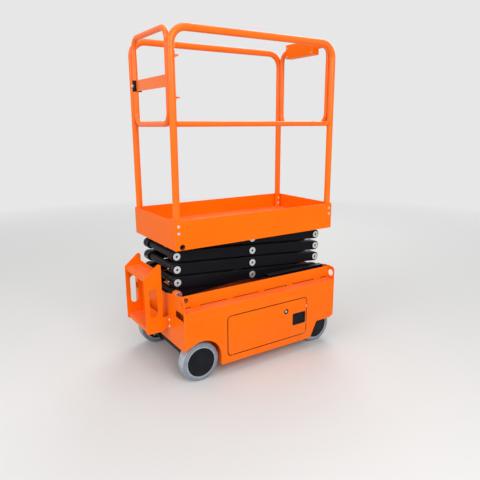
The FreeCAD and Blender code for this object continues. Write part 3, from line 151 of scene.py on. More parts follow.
def makeScuffGroup():
    # thin scratches that come in patches
    group, start, end = newGroup(
        "scuffs", "Shader", {"Vector": "Vector", "Scale": 9.0, "Threshold": 0.66}, {"Mask": "Float"})
    vector, threshold = start["Vector"], start["Threshold"]
    warp = addNode(group, "ShaderNodeMapping", {
        "Vector": vector, "Scale": (1.0, 1.0, 7.0), "Rotation": (0.35, 0.2, 0.5)})
    streak = noise(group, warp.outputs["Vector"], start["Scale"], 8, 0.72)
    patch = noise(group, vector, 3.1, 3, 0.6)
    high = mathNode(group, "ADD", threshold, 0.05)
    lines = ramp(group, streak, threshold, high)
    area = ramp(group, patch, 0.45, 0.68)
    plug(group, product(group, lines, area), end["Mask"])
    return group


def makeDustGroup():
    # dirt thrown up from the floor, and a paler film on faces that look up, which is partly settled dust and
    # partly a painted sheen of the bright sky
    group, start, end = newGroup(
        "dustAndSheen", "Shader",
        {"Vector": "Vector", "Normal": "Vector", "Splash Top": 0.35, "Splash": 0.4, "Film": 0.4},
        {"Splash": "Float", "Film": "Float"})
    vector = start["Vector"]
    place = addNode(group, "ShaderNodeSeparateXYZ", {0: vector})
    height = ramp(group, place.outputs["Z"], 0.0, start["Splash Top"])
    fade = mathNode(group, "SUBTRACT", 1.0, height)
    cloud = ramp(group, noise(group, vector, 14.0, 6, 0.65), 0.35, 0.75)
    splash = product(group, fade, cloud)
    # faces that look up get the film: settled dust together with a painted reflection of the sky
    facing = addNode(group, "ShaderNodeSeparateXYZ", {0: start["Normal"]})
    level = ramp(group, facing.outputs["Z"], 0.35, 0.95)
    patchy = ramp(group, noise(group, vector, 5.0, 5, 0.6), 0.15, 0.85)
    filmAndSheen = product(group, level, patchy)
    for label, mask in (("Splash", splash), ("Film", filmAndSheen)):
        plug(group, product(group, mask, start[label]), end[label])
    return group


def makeRimGroup():
    # rounded edges rubbed pale here and there, with a painted highlight along them
    group, start, end = newGroup(
        "rubbedEdgesAndHighlight", "Shader", {"Vector": "Vector", "Edge": 0.0, "Amount": 0.6}, {"Mask": "Float"})
    gaps = ramp(group, noise(group, start["Vector"], 22.0, 4, 0.6), 0.25, 0.6)
    mask = product(group, start["Edge"], gaps)
    plug(group, product(group, mask, start["Amount"]), end["Mask"])
    return group


coatGroup = makeCoatGroup()
scuffGroup = makeScuffGroup()
dustAndSheenGroup = makeDustGroup()
rimGroup = makeRimGroup()

# Colours: the body's two shades, worn in scratches, edge on rubbed edges (partly wear, partly a painted
# highlight), film on top faces (partly dust, partly a painted sheen of the sky).
finishColumns = ("color", "shade", "worn", "edge", "filmAndSheen", "rough", "metal", "specular", "peel", "peelScale",
                 "shadeScale", "scuff", "rubAndHighlight", "splash", "filmAndSheenAmount")
finishTable = {
    "orange_paint": (
        (0.94, 0.158, 0.0), (0.90, 0.137, 0.0), (0.66, 0.11, 0.015), (0.98, 0.33, 0.11), (0.88, 0.23, 0.12),
        0.38, 0.0, 0.11, 0.05, 520, 2.2, 0.70, 0.85, 0.08, 0.62),
    "black_paint": (
        (0.0036, 0.0039, 0.0062), (0.0062, 0.0064, 0.0090), (0.06, 0.058, 0.058), (0.050, 0.050, 0.058),
        (0.070, 0.062, 0.056), 0.34, 0.0, 0.08, 0.05, 460, 2.2, 0.64, 0.7, 0.12, 0.55),
    "zinc": (
        (0.66, 0.66, 0.67), (0.54, 0.55, 0.56), (0.36, 0.35, 0.33), (0.80, 0.80, 0.80), (0.45, 0.42, 0.38),
        0.34, 0.8, 0.5, 0.03, 900, 2.2, 0.62, 0.5, 0.1, 0.2),
    "chrome_rod": (
        (0.74, 0.75, 0.77), (0.68, 0.69, 0.71), (0.45, 0.45, 0.45), (0.85, 0.85, 0.85), (0.5, 0.5, 0.5),
        0.12, 1.0, 0.5, 0.01, 700, 2.2, 0.74, 0.3, 0.02, 0.05),
    "grey_tyre": (
        (0.250, 0.284, 0.338), (0.186, 0.210, 0.254), (0.17, 0.18, 0.20), (0.45, 0.49, 0.55),
        (0.42, 0.40, 0.38), 0.72, 0.0, 0.12, 0.16, 260, 16.0, 0.58, 0.9, 0.35, 0.1),
    "black_plastic": (
        (0.0045, 0.0052, 0.0076), (0.0085, 0.0090, 0.0115), (0.05, 0.05, 0.05), (0.045, 0.045, 0.048),
        (0.08, 0.075, 0.07), 0.46, 0.0, 0.10, 0.18, 800, 2.2, 0.70, 0.5, 0.05, 0.3),
    "black_cap": (
        (0.0040, 0.0055, 0.0085), (0.0075, 0.0090, 0.0125), (0.06, 0.06, 0.065), (0.030, 0.032, 0.038),
        (0.08, 0.075, 0.07), 0.42, 0.0, 0.09, 0.08, 600, 2.2, 0.62, 0.6, 0.06, 0.2),
    "red_plastic": (
        (0.62, 0.012, 0.010), (0.52, 0.010, 0.009), (0.35, 0.02, 0.02), (0.72, 0.05, 0.04), (0.6, 0.1, 0.08),
        0.3, 0.0, 0.5, 0.03, 500, 2.2, 0.74, 0.4, 0.0, 0.15),
    "yellow_plastic": (
        (0.80, 0.52, 0.01), (0.72, 0.45, 0.01), (0.5, 0.33, 0.03), (0.85, 0.60, 0.08), (0.7, 0.5, 0.15),
        0.38, 0.0, 0.4, 0.04, 500, 2.2, 0.74, 0.4, 0.0, 0.15),
    "brass": (
        (0.72, 0.48, 0.20), (0.60, 0.38, 0.15), (0.35, 0.25, 0.12), (0.85, 0.65, 0.35), (0.5, 0.4, 0.25),
        0.32, 1.0, 0.5, 0.03, 800, 2.2, 0.66, 0.4, 0.1, 0.1),
    "dark_glass": (
        (0.010, 0.014, 0.018), (0.014, 0.020, 0.026), (0.03, 0.03, 0.03), (0.03, 0.03, 0.03),
        (0.05, 0.05, 0.05), 0.08, 0.0, 0.5, 0.0, 300, 2.2, 0.78, 0.1, 0.0, 0.1),
}
finishes = {name: dict(zip(finishColumns, row)) for name, row in finishTable.items()}
# the bent tubes shine more than the sheet
finishes["tube_paint"] = {**finishes["orange_paint"], "rough": 0.24, "specular": 0.34}
floorDirt = (0.30, 0.285, 0.265)


def makeFinish(name, look):
    material, tree, shader = newMaterial(name)
    texture = addNode(tree, "ShaderNodeTexCoord")
    edge = addNode(tree, "ShaderNodeAttribute", attribute_name="edge").outputs["Fac"]

    def place(group, **values):
        inputs = {"Vector": texture.outputs["Object"]}
        inputs.update((label.replace("_", " "), value) for label, value in values.items())
        return addNode(tree, "ShaderNodeGroup", inputs, node_tree=group).outputs

    coat = place(coatGroup, Peel_Scale=look["peelScale"], Shade_Scale=look["shadeScale"])
    scuff = place(scuffGroup, Threshold=look["scuff"])
    # rubbed edges: partly wear and partly a painted highlight on the rounded edges
    rim = place(rimGroup, Edge=edge, Amount=look["rubAndHighlight"])
    normal = texture.outputs["Normal"]
    # the film on top faces is partly dust and partly a painted sheen of the sky
    dustAndSheen = place(dustAndSheenGroup, Normal=normal, Splash=look["splash"], Film=look["filmAndSheenAmount"])
    color = look["color"]
    layers = ((coat["Shade"], look["shade"]), (scuff["Mask"], look["worn"]), (rim["Mask"], look["edge"]),
              (dustAndSheen["Film"], look["filmAndSheen"]), (dustAndSheen["Splash"], floorDirt))
    for mask, over in layers:
        color = mixColor(tree, mask, color, over)
    dulled = product(tree, scuff["Mask"], 0.18)
    matt = product(tree, dustAndSheen["Film"], 0.25)
    rough = mathNode(tree, "ADD", mathNode(tree, "ADD", dulled, matt), look["rough"])
    bump = addNode(tree, "ShaderNodeBump", {
        "Strength": look["peel"], "Distance": 0.002, "Height": coat["Height"]})
    for label, value in (("Base Color", color), ("Roughness", rough), ("Metallic", look["metal"]),
                         ("Specular IOR Level", look["specular"]), ("Normal", bump.outputs["Normal"])):
        plug(tree, value, shader[label])
    return material


materials = {name: makeFinish(name, look) for name, look in finishes.items()}
print("finishes made:", len(materials))


# Small mesh helpers

def addObject(name, data):
    thing = bpy.data.objects.new(name, data)
    bpy.context.scene.collection.objects.link(thing)
    return thing


def plainMesh(holder):
    # the mesh that an object's modifiers make; the object itself goes
    made = bpy.data.meshes.new_from_object(holder.evaluated_get(bpy.context.evaluated_depsgraph_get()))
    bpy.data.objects.remove(holder)
    return made


def meshFrom(form, name="form"):
    mesh = bpy.data.meshes.new(name)
    form.to_mesh(mesh)
    form.free()
    return mesh


def joinMeshes(meshes):
    form = bmesh.new()
    for mesh in meshes:
        form.from_mesh(mesh)
    return meshFrom(form)


def circlePlaces(centre, axis, radius, count, start=0.0, along=0.0):
    # places round an axis, at a distance along it
    turn = Vector(upward).rotation_difference(Vector(axis)).to_matrix()
    places = []
    for index in range(count):
        angle = start + 2 * math.pi * index / count
        offset = Vector((radius * math.cos(angle), radius * math.sin(angle), along))
        places.append(Vector(centre) + turn @ offset)
    return places


def lathe(profile, place, axis, segments=40):
    # turns (distance along the axis, radius) rows about the axis; off the axis they close into a ring
    form = bmesh.new()
    loops = []
    for along, radius in profile:
        places = circlePlaces(place, axis, radius, segments, along=along)
        loops.append([form.verts.new(at) for at in (places if radius > 1e-6 else places[:1])])
    if profile[0][1] > 0:
        loops.append(loops[0])
    for first, second in zip(loops, loops[1:]):
        for index in range(segments):
            after = index + 1
            corners = (first[index % len(first)], first[after % len(first)],
                       second[after % len(second)], second[index % len(second)])
            corners = list(dict.fromkeys(corners))
            if len(corners) > 2:
                form.faces.new(corners)
    bmesh.ops.recalc_face_normals(form, faces=form.faces)
    return meshFrom(form)


def sleeve(low, high, inner, outer):
    # the lathe rows of a plain ring
    return [(low, inner), (low, outer), (high, outer), (high, inner)]


def boxMesh(low, high):
    form = bmesh.new()
    bmesh.ops.create_cube(form, size=1.0)
    low, high = Vector(low), Vector(high)
    form.transform(Matrix.LocRotScale((low + high) / 2, None, high - low))
    return meshFrom(form)


def softBox(low, high, width=0.003):
    return breakEdges(boxMesh(low, high), width)


def markFaces(mesh, marks):
    # the finishes rub the marked faces pale and paint a highlight on them
    edge = mesh.attributes.new("edge", "FLOAT", "FACE")
    edge.data.foreach_set("value", [float(mark) for mark in marks])


edgeBreak = {"width": 0.0013, "angle": 35, "segments": 2}


def breakEdges(mesh, width=edgeBreak["width"]):
    # rounds the sharp edges of a closed mesh and marks the new faces
    mesh.materials.clear()
    mesh.materials.append(None)
    mesh.materials.append(None)
    mesh.shade_smooth()
    holder = addObject("edgeWork", mesh)
    bevel = holder.modifiers.new("bevel", "BEVEL")
    bevel.width = width
    bevel.segments = edgeBreak["segments"]
    bevel.limit_method = "ANGLE"
    bevel.angle_limit = math.radians(edgeBreak["angle"])
    bevel.use_clamp_overlap = True
    bevel.material = 1
    holder.modifiers.new("weights", "WEIGHTED_NORMAL")
    shaped = plainMesh(holder)
    markFaces(shaped, [face.material_index for face in shaped.polygons])
    return shaped


def finishPiece(name, mesh, material, body, replaced=(), smoothAngle=None, slot=None):
    mesh.name = name
    piece = addObject(name, mesh)
    mesh.materials.clear()
    mesh.materials.append(materials[material])
    mesh.polygons.foreach_set("material_index", [0] * len(mesh.polygons))
    if smoothAngle:
        mesh.shade_smooth()
        mesh.set_sharp_from_angle(angle=math.radians(smoothAngle))
    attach(piece, body)
    if replaced:
        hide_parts(*replaced)
    slot = slot or material


collected = {}


def collect(name, body, material, mesh):
    # small like pieces on one body end up in one mesh
    collected.setdefault((name, body, material), []).append(mesh)


def collectTurned(name, body, material, *turning):
    collect(name, body, material, lathe(*turning))


def finishCollected():
    for (name, body, material), meshes in collected.items():
        finishPiece(name, joinMeshes(meshes), material, body, smoothAngle=38)


def nodeForm(name, flat=False):
    # a node's solids with their vertices merged, and their flat faces whole if flat
    form = bmesh.new()
    form.from_mesh(nodes[name].data)
    bmesh.ops.remove_doubles(form, verts=form.verts, dist=0.00002)
    if flat:
        bmesh.ops.dissolve_limit(form, angle_limit=math.radians(1.0), verts=form.verts, edges=form.edges)
    return form


def islandsOf(form):
    # the separate solids of a form, each a list of its vertices
    left, islands = set(form.verts), []
    for seed in form.verts:
        if seed not in left:
            continue
        left.remove(seed)
        island = [seed]
        for vert in island:   # grows as it goes
            for edge in vert.link_edges:
                other = edge.other_vert(vert)
                if other in left:
                    left.remove(other)
                    island.append(other)
        islands.append(island)
    return islands


def boxOf(verts):
    return [Vector([pick(vert.co[i] for vert in verts) for i in range(3)]) for pick in (min, max)]


def solidBoxes(name):
    form = nodeForm(name)
    boxes = [boxOf(island) for island in islandsOf(form)]
    form.free()
    return boxes


surfaces = {}


def seat(name, place, facing, away=0.3):
    # where a fastener that faces outwards sits on a node, found from a point off its surface
    if name not in surfaces:
        mesh = nodes[name].data
        surfaces[name] = BVHTree.FromPolygons([vert.co for vert in mesh.vertices],
                                              [list(face.vertices) for face in mesh.polygons])
    facing = Vector(facing)
    hit = surfaces[name].ray_cast(Vector(place) + facing * away, -facing)
    return hit[0], facing


# Geometry Nodes that repeat or follow a path

def newTree(name, sizes):
    # every tree takes a mesh, its own sizes and a material
    inputs = {"Geometry": "Geometry", **sizes, "Material": "Material"}
    return newGroup(name, "Geometry", inputs, {"Geometry": "Geometry"})


def endTree(tree, geometry, start, end):
    # every tree ends in real geometry with its material
    real = addNode(tree, "GeometryNodeRealizeInstances", {"Geometry": geometry})
    paint = addNode(tree, "GeometryNodeSetMaterial", {
        "Geometry": real.outputs["Geometry"], "Material": start["Material"]})
    plug(tree, paint.outputs["Geometry"], end["Geometry"])
    return tree


def frustum(tree, corners, bottom, top, height, base):
    # a closed frustum standing at a height; each value is a socket or a number
    cone = addNode(tree, "GeometryNodeMeshCone", {
        "Vertices": corners, "Radius Bottom": bottom, "Radius Top": top, "Depth": height})
    lift = addNode(tree, "ShaderNodeCombineXYZ", {"Z": base})
    move = {"Geometry": cone.outputs["Mesh"], "Translation": lift.outputs[0]}
    return addNode(tree, "GeometryNodeTransform", move).outputs["Geometry"]


def sizeVector(tree, start, *labels):
    inputs = {index: start[label] for index, label in enumerate(labels)}
    return addNode(tree, "ShaderNodeCombineXYZ", inputs).outputs[0]


def instancesOn(tree, points, shape, rotation):
    inputs = {"Points": points, "Instance": shape, "Rotation": rotation}
    return addNode(tree, "GeometryNodeInstanceOnPoints", inputs).outputs["Instances"]


def turnUpright(tree, angle):
    inputs = {"Axis": upward, "Angle": angle}
    return addNode(tree, "FunctionNodeAxisAngleToRotation", inputs).outputs[0]


def makeBoltTree():
    # a washer and a chamfered head on every point, standing along the point's facing
    tree, start, end = newTree("boltHeads", {
        "Sides": 6, "Head Radius": 0.008, "Head Height": 0.005,
        "Washer Radius": 0.011, "Washer Height": 0.0015})
    corners, radius, washer, thick = [
        start[label] for label in ("Sides", "Head Radius", "Washer Radius", "Washer Height")]
    bodyHeight = product(tree, start["Head Height"], 0.72)
    crownHeight = product(tree, start["Head Height"], 0.28)
    crownRadius = product(tree, radius, 0.84)
    crownBase = mathNode(tree, "ADD", thick, bodyHeight)
    washerTop = product(tree, washer, 0.95)
    join = addNode(tree, "GeometryNodeJoinGeometry")
    for shape in (frustum(tree, 20, washer, washerTop, thick, 0.0),
                  frustum(tree, corners, radius, radius, bodyHeight, thick),
                  frustum(tree, corners, radius, crownRadius, crownHeight, crownBase)):
        plug(tree, shape, join.inputs["Geometry"])
    facing = addNode(tree, "GeometryNodeInputNamedAttribute", {"Name": "facing"}, data_type="FLOAT_VECTOR")
    align = addNode(tree, "FunctionNodeAlignRotationToVector", {
        "Vector": facing.outputs["Attribute"]}, axis="Z")
    spin = addNode(tree, "FunctionNodeRandomValue", {3: math.tau, "Seed": 7}, data_type="FLOAT")
    turned = addNode(tree, "FunctionNodeRotateRotation", {
        "Rotation": align.outputs[0], "Rotate By": turnUpright(tree, spin.outputs[1])},
        rotation_space="LOCAL")
    placed = instancesOn(tree, start["Geometry"], join.outputs["Geometry"], turned.outputs[0])
    return endTree(tree, placed, start, end)


def makePatternTree():
    # low raised marks on a grid, each turned against its neighbours
    tree, start, end = newTree("raisedPattern", {
        "Size X": 1.0, "Size Y": 0.5, "Count X": 10, "Count Y": 5, "Sides": 8,
        "Mark Length": 0.02, "Mark Width": 0.007, "Mark Height": 0.001, "Turn": 0.0})
    grid = addNode(tree, "GeometryNodeMeshGrid", {
        "Size X": start["Size X"], "Size Y": start["Size Y"],
        "Vertices X": start["Count X"], "Vertices Y": start["Count Y"]})
    mark = frustum(tree, start["Sides"], 0.5, 0.33, 1.0, 0.0)
    scale = sizeVector(tree, start, "Mark Length", "Mark Width", "Mark Height")
    shaped = addNode(tree, "GeometryNodeTransform", {"Geometry": mark, "Scale": scale})
    index = addNode(tree, "GeometryNodeInputIndex").outputs["Index"]
    parity = mathNode(tree, "MODULO", index, 2.0)
    signed = mathNode(tree, "SUBTRACT", product(tree, parity, 2.0), 1.0)
    angle = product(tree, signed, start["Turn"])
    placed = instancesOn(tree, grid.outputs["Mesh"], shaped.outputs["Geometry"],
                         turnUpright(tree, angle))
    return endTree(tree, placed, start, end)


def sweptLine(tree, curve, corners, radius, scale, start, end):
    circle = addNode(tree, "GeometryNodeCurvePrimitiveCircle", {"Resolution": corners, "Radius": radius})
    skin = addNode(tree, "GeometryNodeCurveToMesh", {
        "Curve": curve, "Profile Curve": circle.outputs["Curve"], "Fill Caps": True, "Scale": scale})
    return endTree(tree, skin.outputs["Mesh"], start, end)


def makeBeadTree():
    # a weld bead along lines, its thickness rippling from step to step
    tree, start, end = newTree("weldBead", {"Bead Radius": 0.002, "Step": 0.004, "Ripple": 0.25})
    line = addNode(tree, "GeometryNodeMeshToCurve", {"Mesh": start["Geometry"]})
    steps = addNode(tree, "GeometryNodeResampleCurve", {
        "Curve": line.outputs["Curve"], "Length": start["Step"]}, mode="LENGTH")
    wobble = addNode(tree, "FunctionNodeRandomValue", {"Seed": 11}, data_type="FLOAT")
    ripple = product(tree, wobble.outputs[1], start["Ripple"])
    thickness = mathNode(tree, "ADD", ripple, 0.85)
    return sweptLine(tree, steps.outputs["Curve"], 6, start["Bead Radius"], thickness, start, end)


def makePipeTree():
    # a rigid pipe along lines, with its corners bent to a radius
    tree, start, end = newTree("rigidPipe", {"Pipe Radius": 0.005, "Bend Radius": 0.02})
    line = addNode(tree, "GeometryNodeMeshToCurve", {"Mesh": start["Geometry"]})
    bend = addNode(tree, "GeometryNodeFilletCurve", {
        "Curve": line.outputs["Curve"], "Radius": start["Bend Radius"], "Count": 7, "Limit Radius": True},
        mode="POLY")
    return sweptLine(tree, bend.outputs["Curve"], 14, start["Pipe Radius"], 1.0, start, end)


def makeFinTree():
    # thin fins round a circle, standing out from its axis
    tree, start, end = newTree("finRing", {
        "Count": 24, "Ring Radius": 0.05, "Fin Depth": 0.008, "Fin Thickness": 0.003, "Fin Length": 0.06})
    circle = addNode(tree, "GeometryNodeMeshCircle", {
        "Vertices": start["Count"], "Radius": start["Ring Radius"]})
    size = sizeVector(tree, start, "Fin Depth", "Fin Thickness", "Fin Length")
    fin = addNode(tree, "GeometryNodeMeshCube", {"Size": size})
    index = addNode(tree, "GeometryNodeInputIndex").outputs["Index"]
    part = mathNode(tree, "DIVIDE", index, start["Count"])
    angle = product(tree, part, math.tau)
    placed = instancesOn(tree, circle.outputs["Mesh"], fin.outputs["Mesh"],
                         turnUpright(tree, angle))
    return endTree(tree, placed, start, end)


boltTree = makeBoltTree()
patternTree = makePatternTree()
beadTree = makeBeadTree()
pipeTree = makePipeTree()
finTree = makeFinTree()


def runTree(tree, material, values, source=None):
    # the tree's result on a source mesh, as a plain mesh
    holder = addObject("treeWork", source or bpy.data.meshes.new("empty"))
    modifier = holder.modifiers.new("make", "NODES")
    modifier.node_group = tree
    values = {**values, "Material": materials[material]}
    for item in tree.interface.items_tree:
        if item.item_type == "SOCKET" and item.in_out == "INPUT" and item.name in values:
            modifier[item.identifier] = values[item.name]
    return plainMesh(holder)


def pointMesh(rows):
    # rows of (place, facing)
    mesh = bpy.data.meshes.new("places")
    mesh.from_pydata([place for place, facing in rows], [], [])
    facing = mesh.attributes.new("facing", "FLOAT_VECTOR", "POINT")
    facing.data.foreach_set("vector", [value for place, aim in rows for value in aim])
    return mesh


def lineMesh(lines, closed=False):
    places, edges = [], []
    for line in lines:
        first = len(places)
        places += line
        edges += [(first + index, first + index + 1) for index in range(len(line) - 1)]
        if closed:
            edges.append((len(places) - 1, first))
    mesh = bpy.data.meshes.new("lines")
    mesh.from_pydata(places, edges, [])
    return mesh


boltLabels = ("Sides", "Head Radius", "Head Height", "Washer Radius", "Washer Height")
boltKinds = {
    "m6": (6, 0.0052, 0.0038, 0.0068, 0.0012),
    "m8": (6, 0.0070, 0.0052, 0.0090, 0.0015),
    "m10": (6, 0.0092, 0.0064, 0.0118, 0.0020),
    "m12": (6, 0.0106, 0.0078, 0.0135, 0.0025),
    "kingpinNut": (6, 0.0165, 0.0090, 0.0190, 0.0025),
    "screw": (14, 0.0042, 0.0022, 0.0046, 0.0006),
    "greaseCap": (18, 0.0046, 0.0010, 0.0067, 0.0012),
    "batteryCap": (16, 0.009, 0.007, 0.012, 0.004),
    "nipple": (10, 0.0028, 0.0052, 0.0042, 0.0022),
}
beadLook = {"step": 1.8, "ripple": 0.35}   # step is in bead radii


def addBolts(name, body, kind, rows, material="zinc"):
    values = dict(zip(boltLabels, boltKinds[kind]))
    collect(name, body, material, runTree(boltTree, material, values, pointMesh(rows)))


def addBeads(name, body, lines, radius, closed=False, material="orange_paint"):
    values = {"Bead Radius": radius, "Step": radius * beadLook["step"], "Ripple": beadLook["ripple"]}
    collect(name, body, material, runTree(beadTree, material, values, lineMesh(lines, closed)))


def raisedMarks(size, count, corners, mark, turn, place):
    # a patch of marks about a place; mark is length, width and height
    marks = runTree(patternTree, "orange_paint", {
        "Size X": size[0], "Size Y": size[1], "Count X": count[0], "Count Y": count[1], "Sides": corners,
        "Mark Length": mark[0], "Mark Width": mark[1], "Mark Height": mark[2], "Turn": math.radians(turn)})
    marks.transform(Matrix.Translation(place))
    return marks


print("trees made")


# Solids carried over, with their sheet edges broken

ownForm = {"battery_pack", "pump_unit", "control_panel", "gate_latch", "door_fittings_right",
           "door_fittings_left"} | {name for name in nodes if name.startswith(("tyre_", "hub_"))}
tubeNodes = {"side_rail_right", "side_rail_left", "front_rail", "gate"}
edgeWidths = {"platform_tray": 0.0014, "side_panel_right": 0.0014, "side_panel_left": 0.0014,
              "control_box": 0.004, "rear_axle": 0.002, "front_axle": 0.002}


def dressNodes():
    for name in nodes:
        if name not in ownForm:
            mesh = breakEdges(meshFrom(nodeForm(name, flat=True)), edgeWidths.get(name, edgeBreak["width"]))
            paint = "tube_paint" if name in tubeNodes else slotOf[name]
            finishPiece(f"{name}_skin", mesh, paint, bodyOf[name], replaced=[name], slot=slotOf[name])


dressNodes()
print("solids dressed")


# Wheels

wheelLook = {
    "segments": 112,
    "crown": 0.0007,         # how much the tread falls off towards its edges
    "taper": 0.15,           # share of the half width that the wall leans in
    "shoulder": 0.0045,
    "wallRing": 0.0012,      # height of the moulded ring on the wall
    # the ring's corners: share of the taper, sunk or not, share of the wall's height
    "ringRows": ((0.5, 1, 0.66), (0.5, 0, 0.60), (0.4, 0, 0.38), (0.4, 1, 0.32)),
    "lip": 0.0042,           # how far the cap laps over the tyre's wall
    "lipDepth": 0.0032,
    "lipGap": 0.0004,
    "boss": 0.41,            # share of the rim
    "bore": 0.55,            # share of the boss
    "web": 0.2,              # share of the half width that the web is set in
    "rimDepth": 0.014,
    "rimEdge": 0.008,
    "capThick": 0.014,
    "capRing": 0.0055,       # width of the cap's raised edge
    "capDish": 0.0016,
    "capEye": 0.019,
}


def makeWheel(end, side, sideName):
    look = wheelLook
    tyreNode, hubNode = f"tyre_{end}_{sideName}", f"hub_{end}_{sideName}"
    low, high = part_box(tyreNode)
    hubLow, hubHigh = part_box(hubNode)
    middle = (low + high) / 2
    radius, half, rim = (high.z - low.z) / 2, (high.y - low.y) / 2, (hubHigh.z - hubLow.z) / 2
    taper, shoulder, wall = look["taper"] * half, look["shoulder"], radius - rim
    outer = rim + look["lip"]
    profile = [
        (0, radius), (half - taper - shoulder, radius - look["crown"]),
        (half - taper - shoulder * 0.3, radius - shoulder * 0.35), (half - taper * 0.8, radius - shoulder)]
    profile += [(half - taper * lean - look["wallRing"] * sunk, rim + wall * share)
                for lean, sunk, share in look["ringRows"]]
    profile += [(half - look["lipDepth"], outer + look["lipGap"]), (half - look["lipDepth"], rim)]
    profile += [(-along, reach) for along, reach in reversed(profile[1:])]
    tyre = lathe(profile, middle, (0, side, 0), look["segments"])
    # the tread's shoulders and the wall by the rim get the pale edge colour, partly wear and partly a
    # painted highlight
    reach = [math.hypot(face.center.x - middle.x, face.center.z - middle.z) for face in tyre.polygons]
    near, far = rim + wall * 0.3, radius - shoulder * 0.5
    markFaces(tyre, [r < near or r > far for r in reach])
    finishPiece(f"{tyreNode}_rubber", tyre, "grey_tyre", bodyOf[tyreNode], [tyreNode], smoothAngle=40)

    boss, web = look["boss"] * rim, -look["web"] * half
    bore, inner = boss * look["bore"], outer - look["capRing"]
    dish, eye, thick = look["capDish"], look["capEye"], look["capThick"]
    back = [(-half, bore), (-half, boss), (web, boss), (web, rim - look["rimDepth"]),
            (-half, rim - look["rimEdge"]), (-half, rim)]
    cap = [   # depths under its face
        (0.0030, rim), (0.0030, outer), (0.0012, outer), (0, outer - 0.0016), (0, inner),
        (dish, inner - 0.002), (dish, eye + 0.004), (dish * 0.3, eye), (dish * 0.3, eye - 0.006),
        (dish, eye - 0.008), (dish, 0), (thick, 0), (thick, bore)]
    profile = back + [(half - depth, reach) for depth, reach in cap]
    hub = lathe(profile, middle, (0, side, 0), look["segments"])
    finishPiece(f"{hubNode}_moulding", hub, slotOf[hubNode], bodyOf[hubNode], [hubNode], smoothAngle=35)


for sideName, side in sides:
    for end in ("rear", "front"):
        makeWheel(end, side, sideName)
print("wheels made")


# Pins, their caps and the arms' fittings

pinLook = {
    "face": (0.2205, 0.2225),         # ends within this distance from the middle show
    "dimple": 0.003,
    "collarSeat": 0.006,
    "collar": [(0, 0.0205), (0, 0.0285), (0.0018, 0.0285), (0.003, 0.0273), (0.003, 0.0205)],
    "nipples": ((3, 0.592), (2, 0.672)),   # pair of arms and height
    "nippleAt": (-0.5, 0.165),
}
# a rubber ring round each hole that shows a rear pin's end; drop is from the pin to the hole
ringLook = {
    "thick": 0.0016,
    "holes": (   # node, joint, drop, inner and outer radius
        ("well_walls", "lift", 0.0, 0.0095, 0.0145),
        ("platform_tray", "platform_pivot", 0.007, 0.0125, 0.0165)),
}


def makePinFittings():
    look = pinLook
    for name in [n for n in nodes if n.startswith("pins_") or n == "base_pins"]:
        caps = []
        for low, high in solidBoxes(name):
            side = 1 if low.y > 0 else -1
            face = max(abs(low.y), abs(high.y))
            if not look["face"][0] < face < look["face"][1]:
                continue
            x, z = (low + high).xz / 2
            caps.append(((x, side * (face - look["dimple"]), z), (0, side, 0)))
            if name != "base_pins":
                collectTurned("pin_collars", bodyOf[name], "black_paint", look["collar"],
                              (x, side * (face - look["collarSeat"]), z), (0, side, 0), 36)
        addBolts(f"{name}_caps", bodyOf[name], "greaseCap", caps, "black_plastic")


def makeNipples():
    x, y = pinLook["nippleAt"]
    for pair, height in pinLook["nipples"]:
        name = f"inner_arms_{pair}"
        rows = [seat(name, (x, side * y, height), (-1, 0, 0)) for sideName, side in sides]
        addBolts(f"{name}_nipples", bodyOf[name], "nipple", rows)


def makeHoleRings():
    thick = ringLook["thick"]
    for node, joint, drop, inner, outer in ringLook["holes"]:
        x, y, z = jointAt[joint] - Vector((0, 0, drop))
        section = [(0, inner), (0, outer), (thick / 2, outer), (thick, outer - 0.001), (thick, inner)]
        for sideName, side in sides:
            face = seat(node, (x + outer, side * 0.3, z), (0, side, 0))[0].y
            collectTurned(f"{node}_hole_rings", bodyOf[node], "black_plastic", section,
                          (x, face, z), (0, side, 0), 32)


makePinFittings()
makeNipples()
makeHoleRings()
print("pins fitted")


# Lift cylinder: gland, clamped pressure pipe, ports and welds

cylinderLook = {
    "glandLength": 0.022, "glandRadius": 0.0415,
    "bead": 0.0022, "footWeld": 0.036,
    "pipeRadius": 0.005, "pipeBend": 0.012, "pipeSide": 0.046, "ports": (0.76, 0.075),
    "clamps": (0.20, 0.42, 0.64), "clampHalf": 0.009, "clampThick": 0.0022,
    "holdHalf": 0.007, "holdThick": 0.0034,
    "rodEye": 0.0801,   # from the barrel's mouth to the middle of the rod's eye, lowered
}


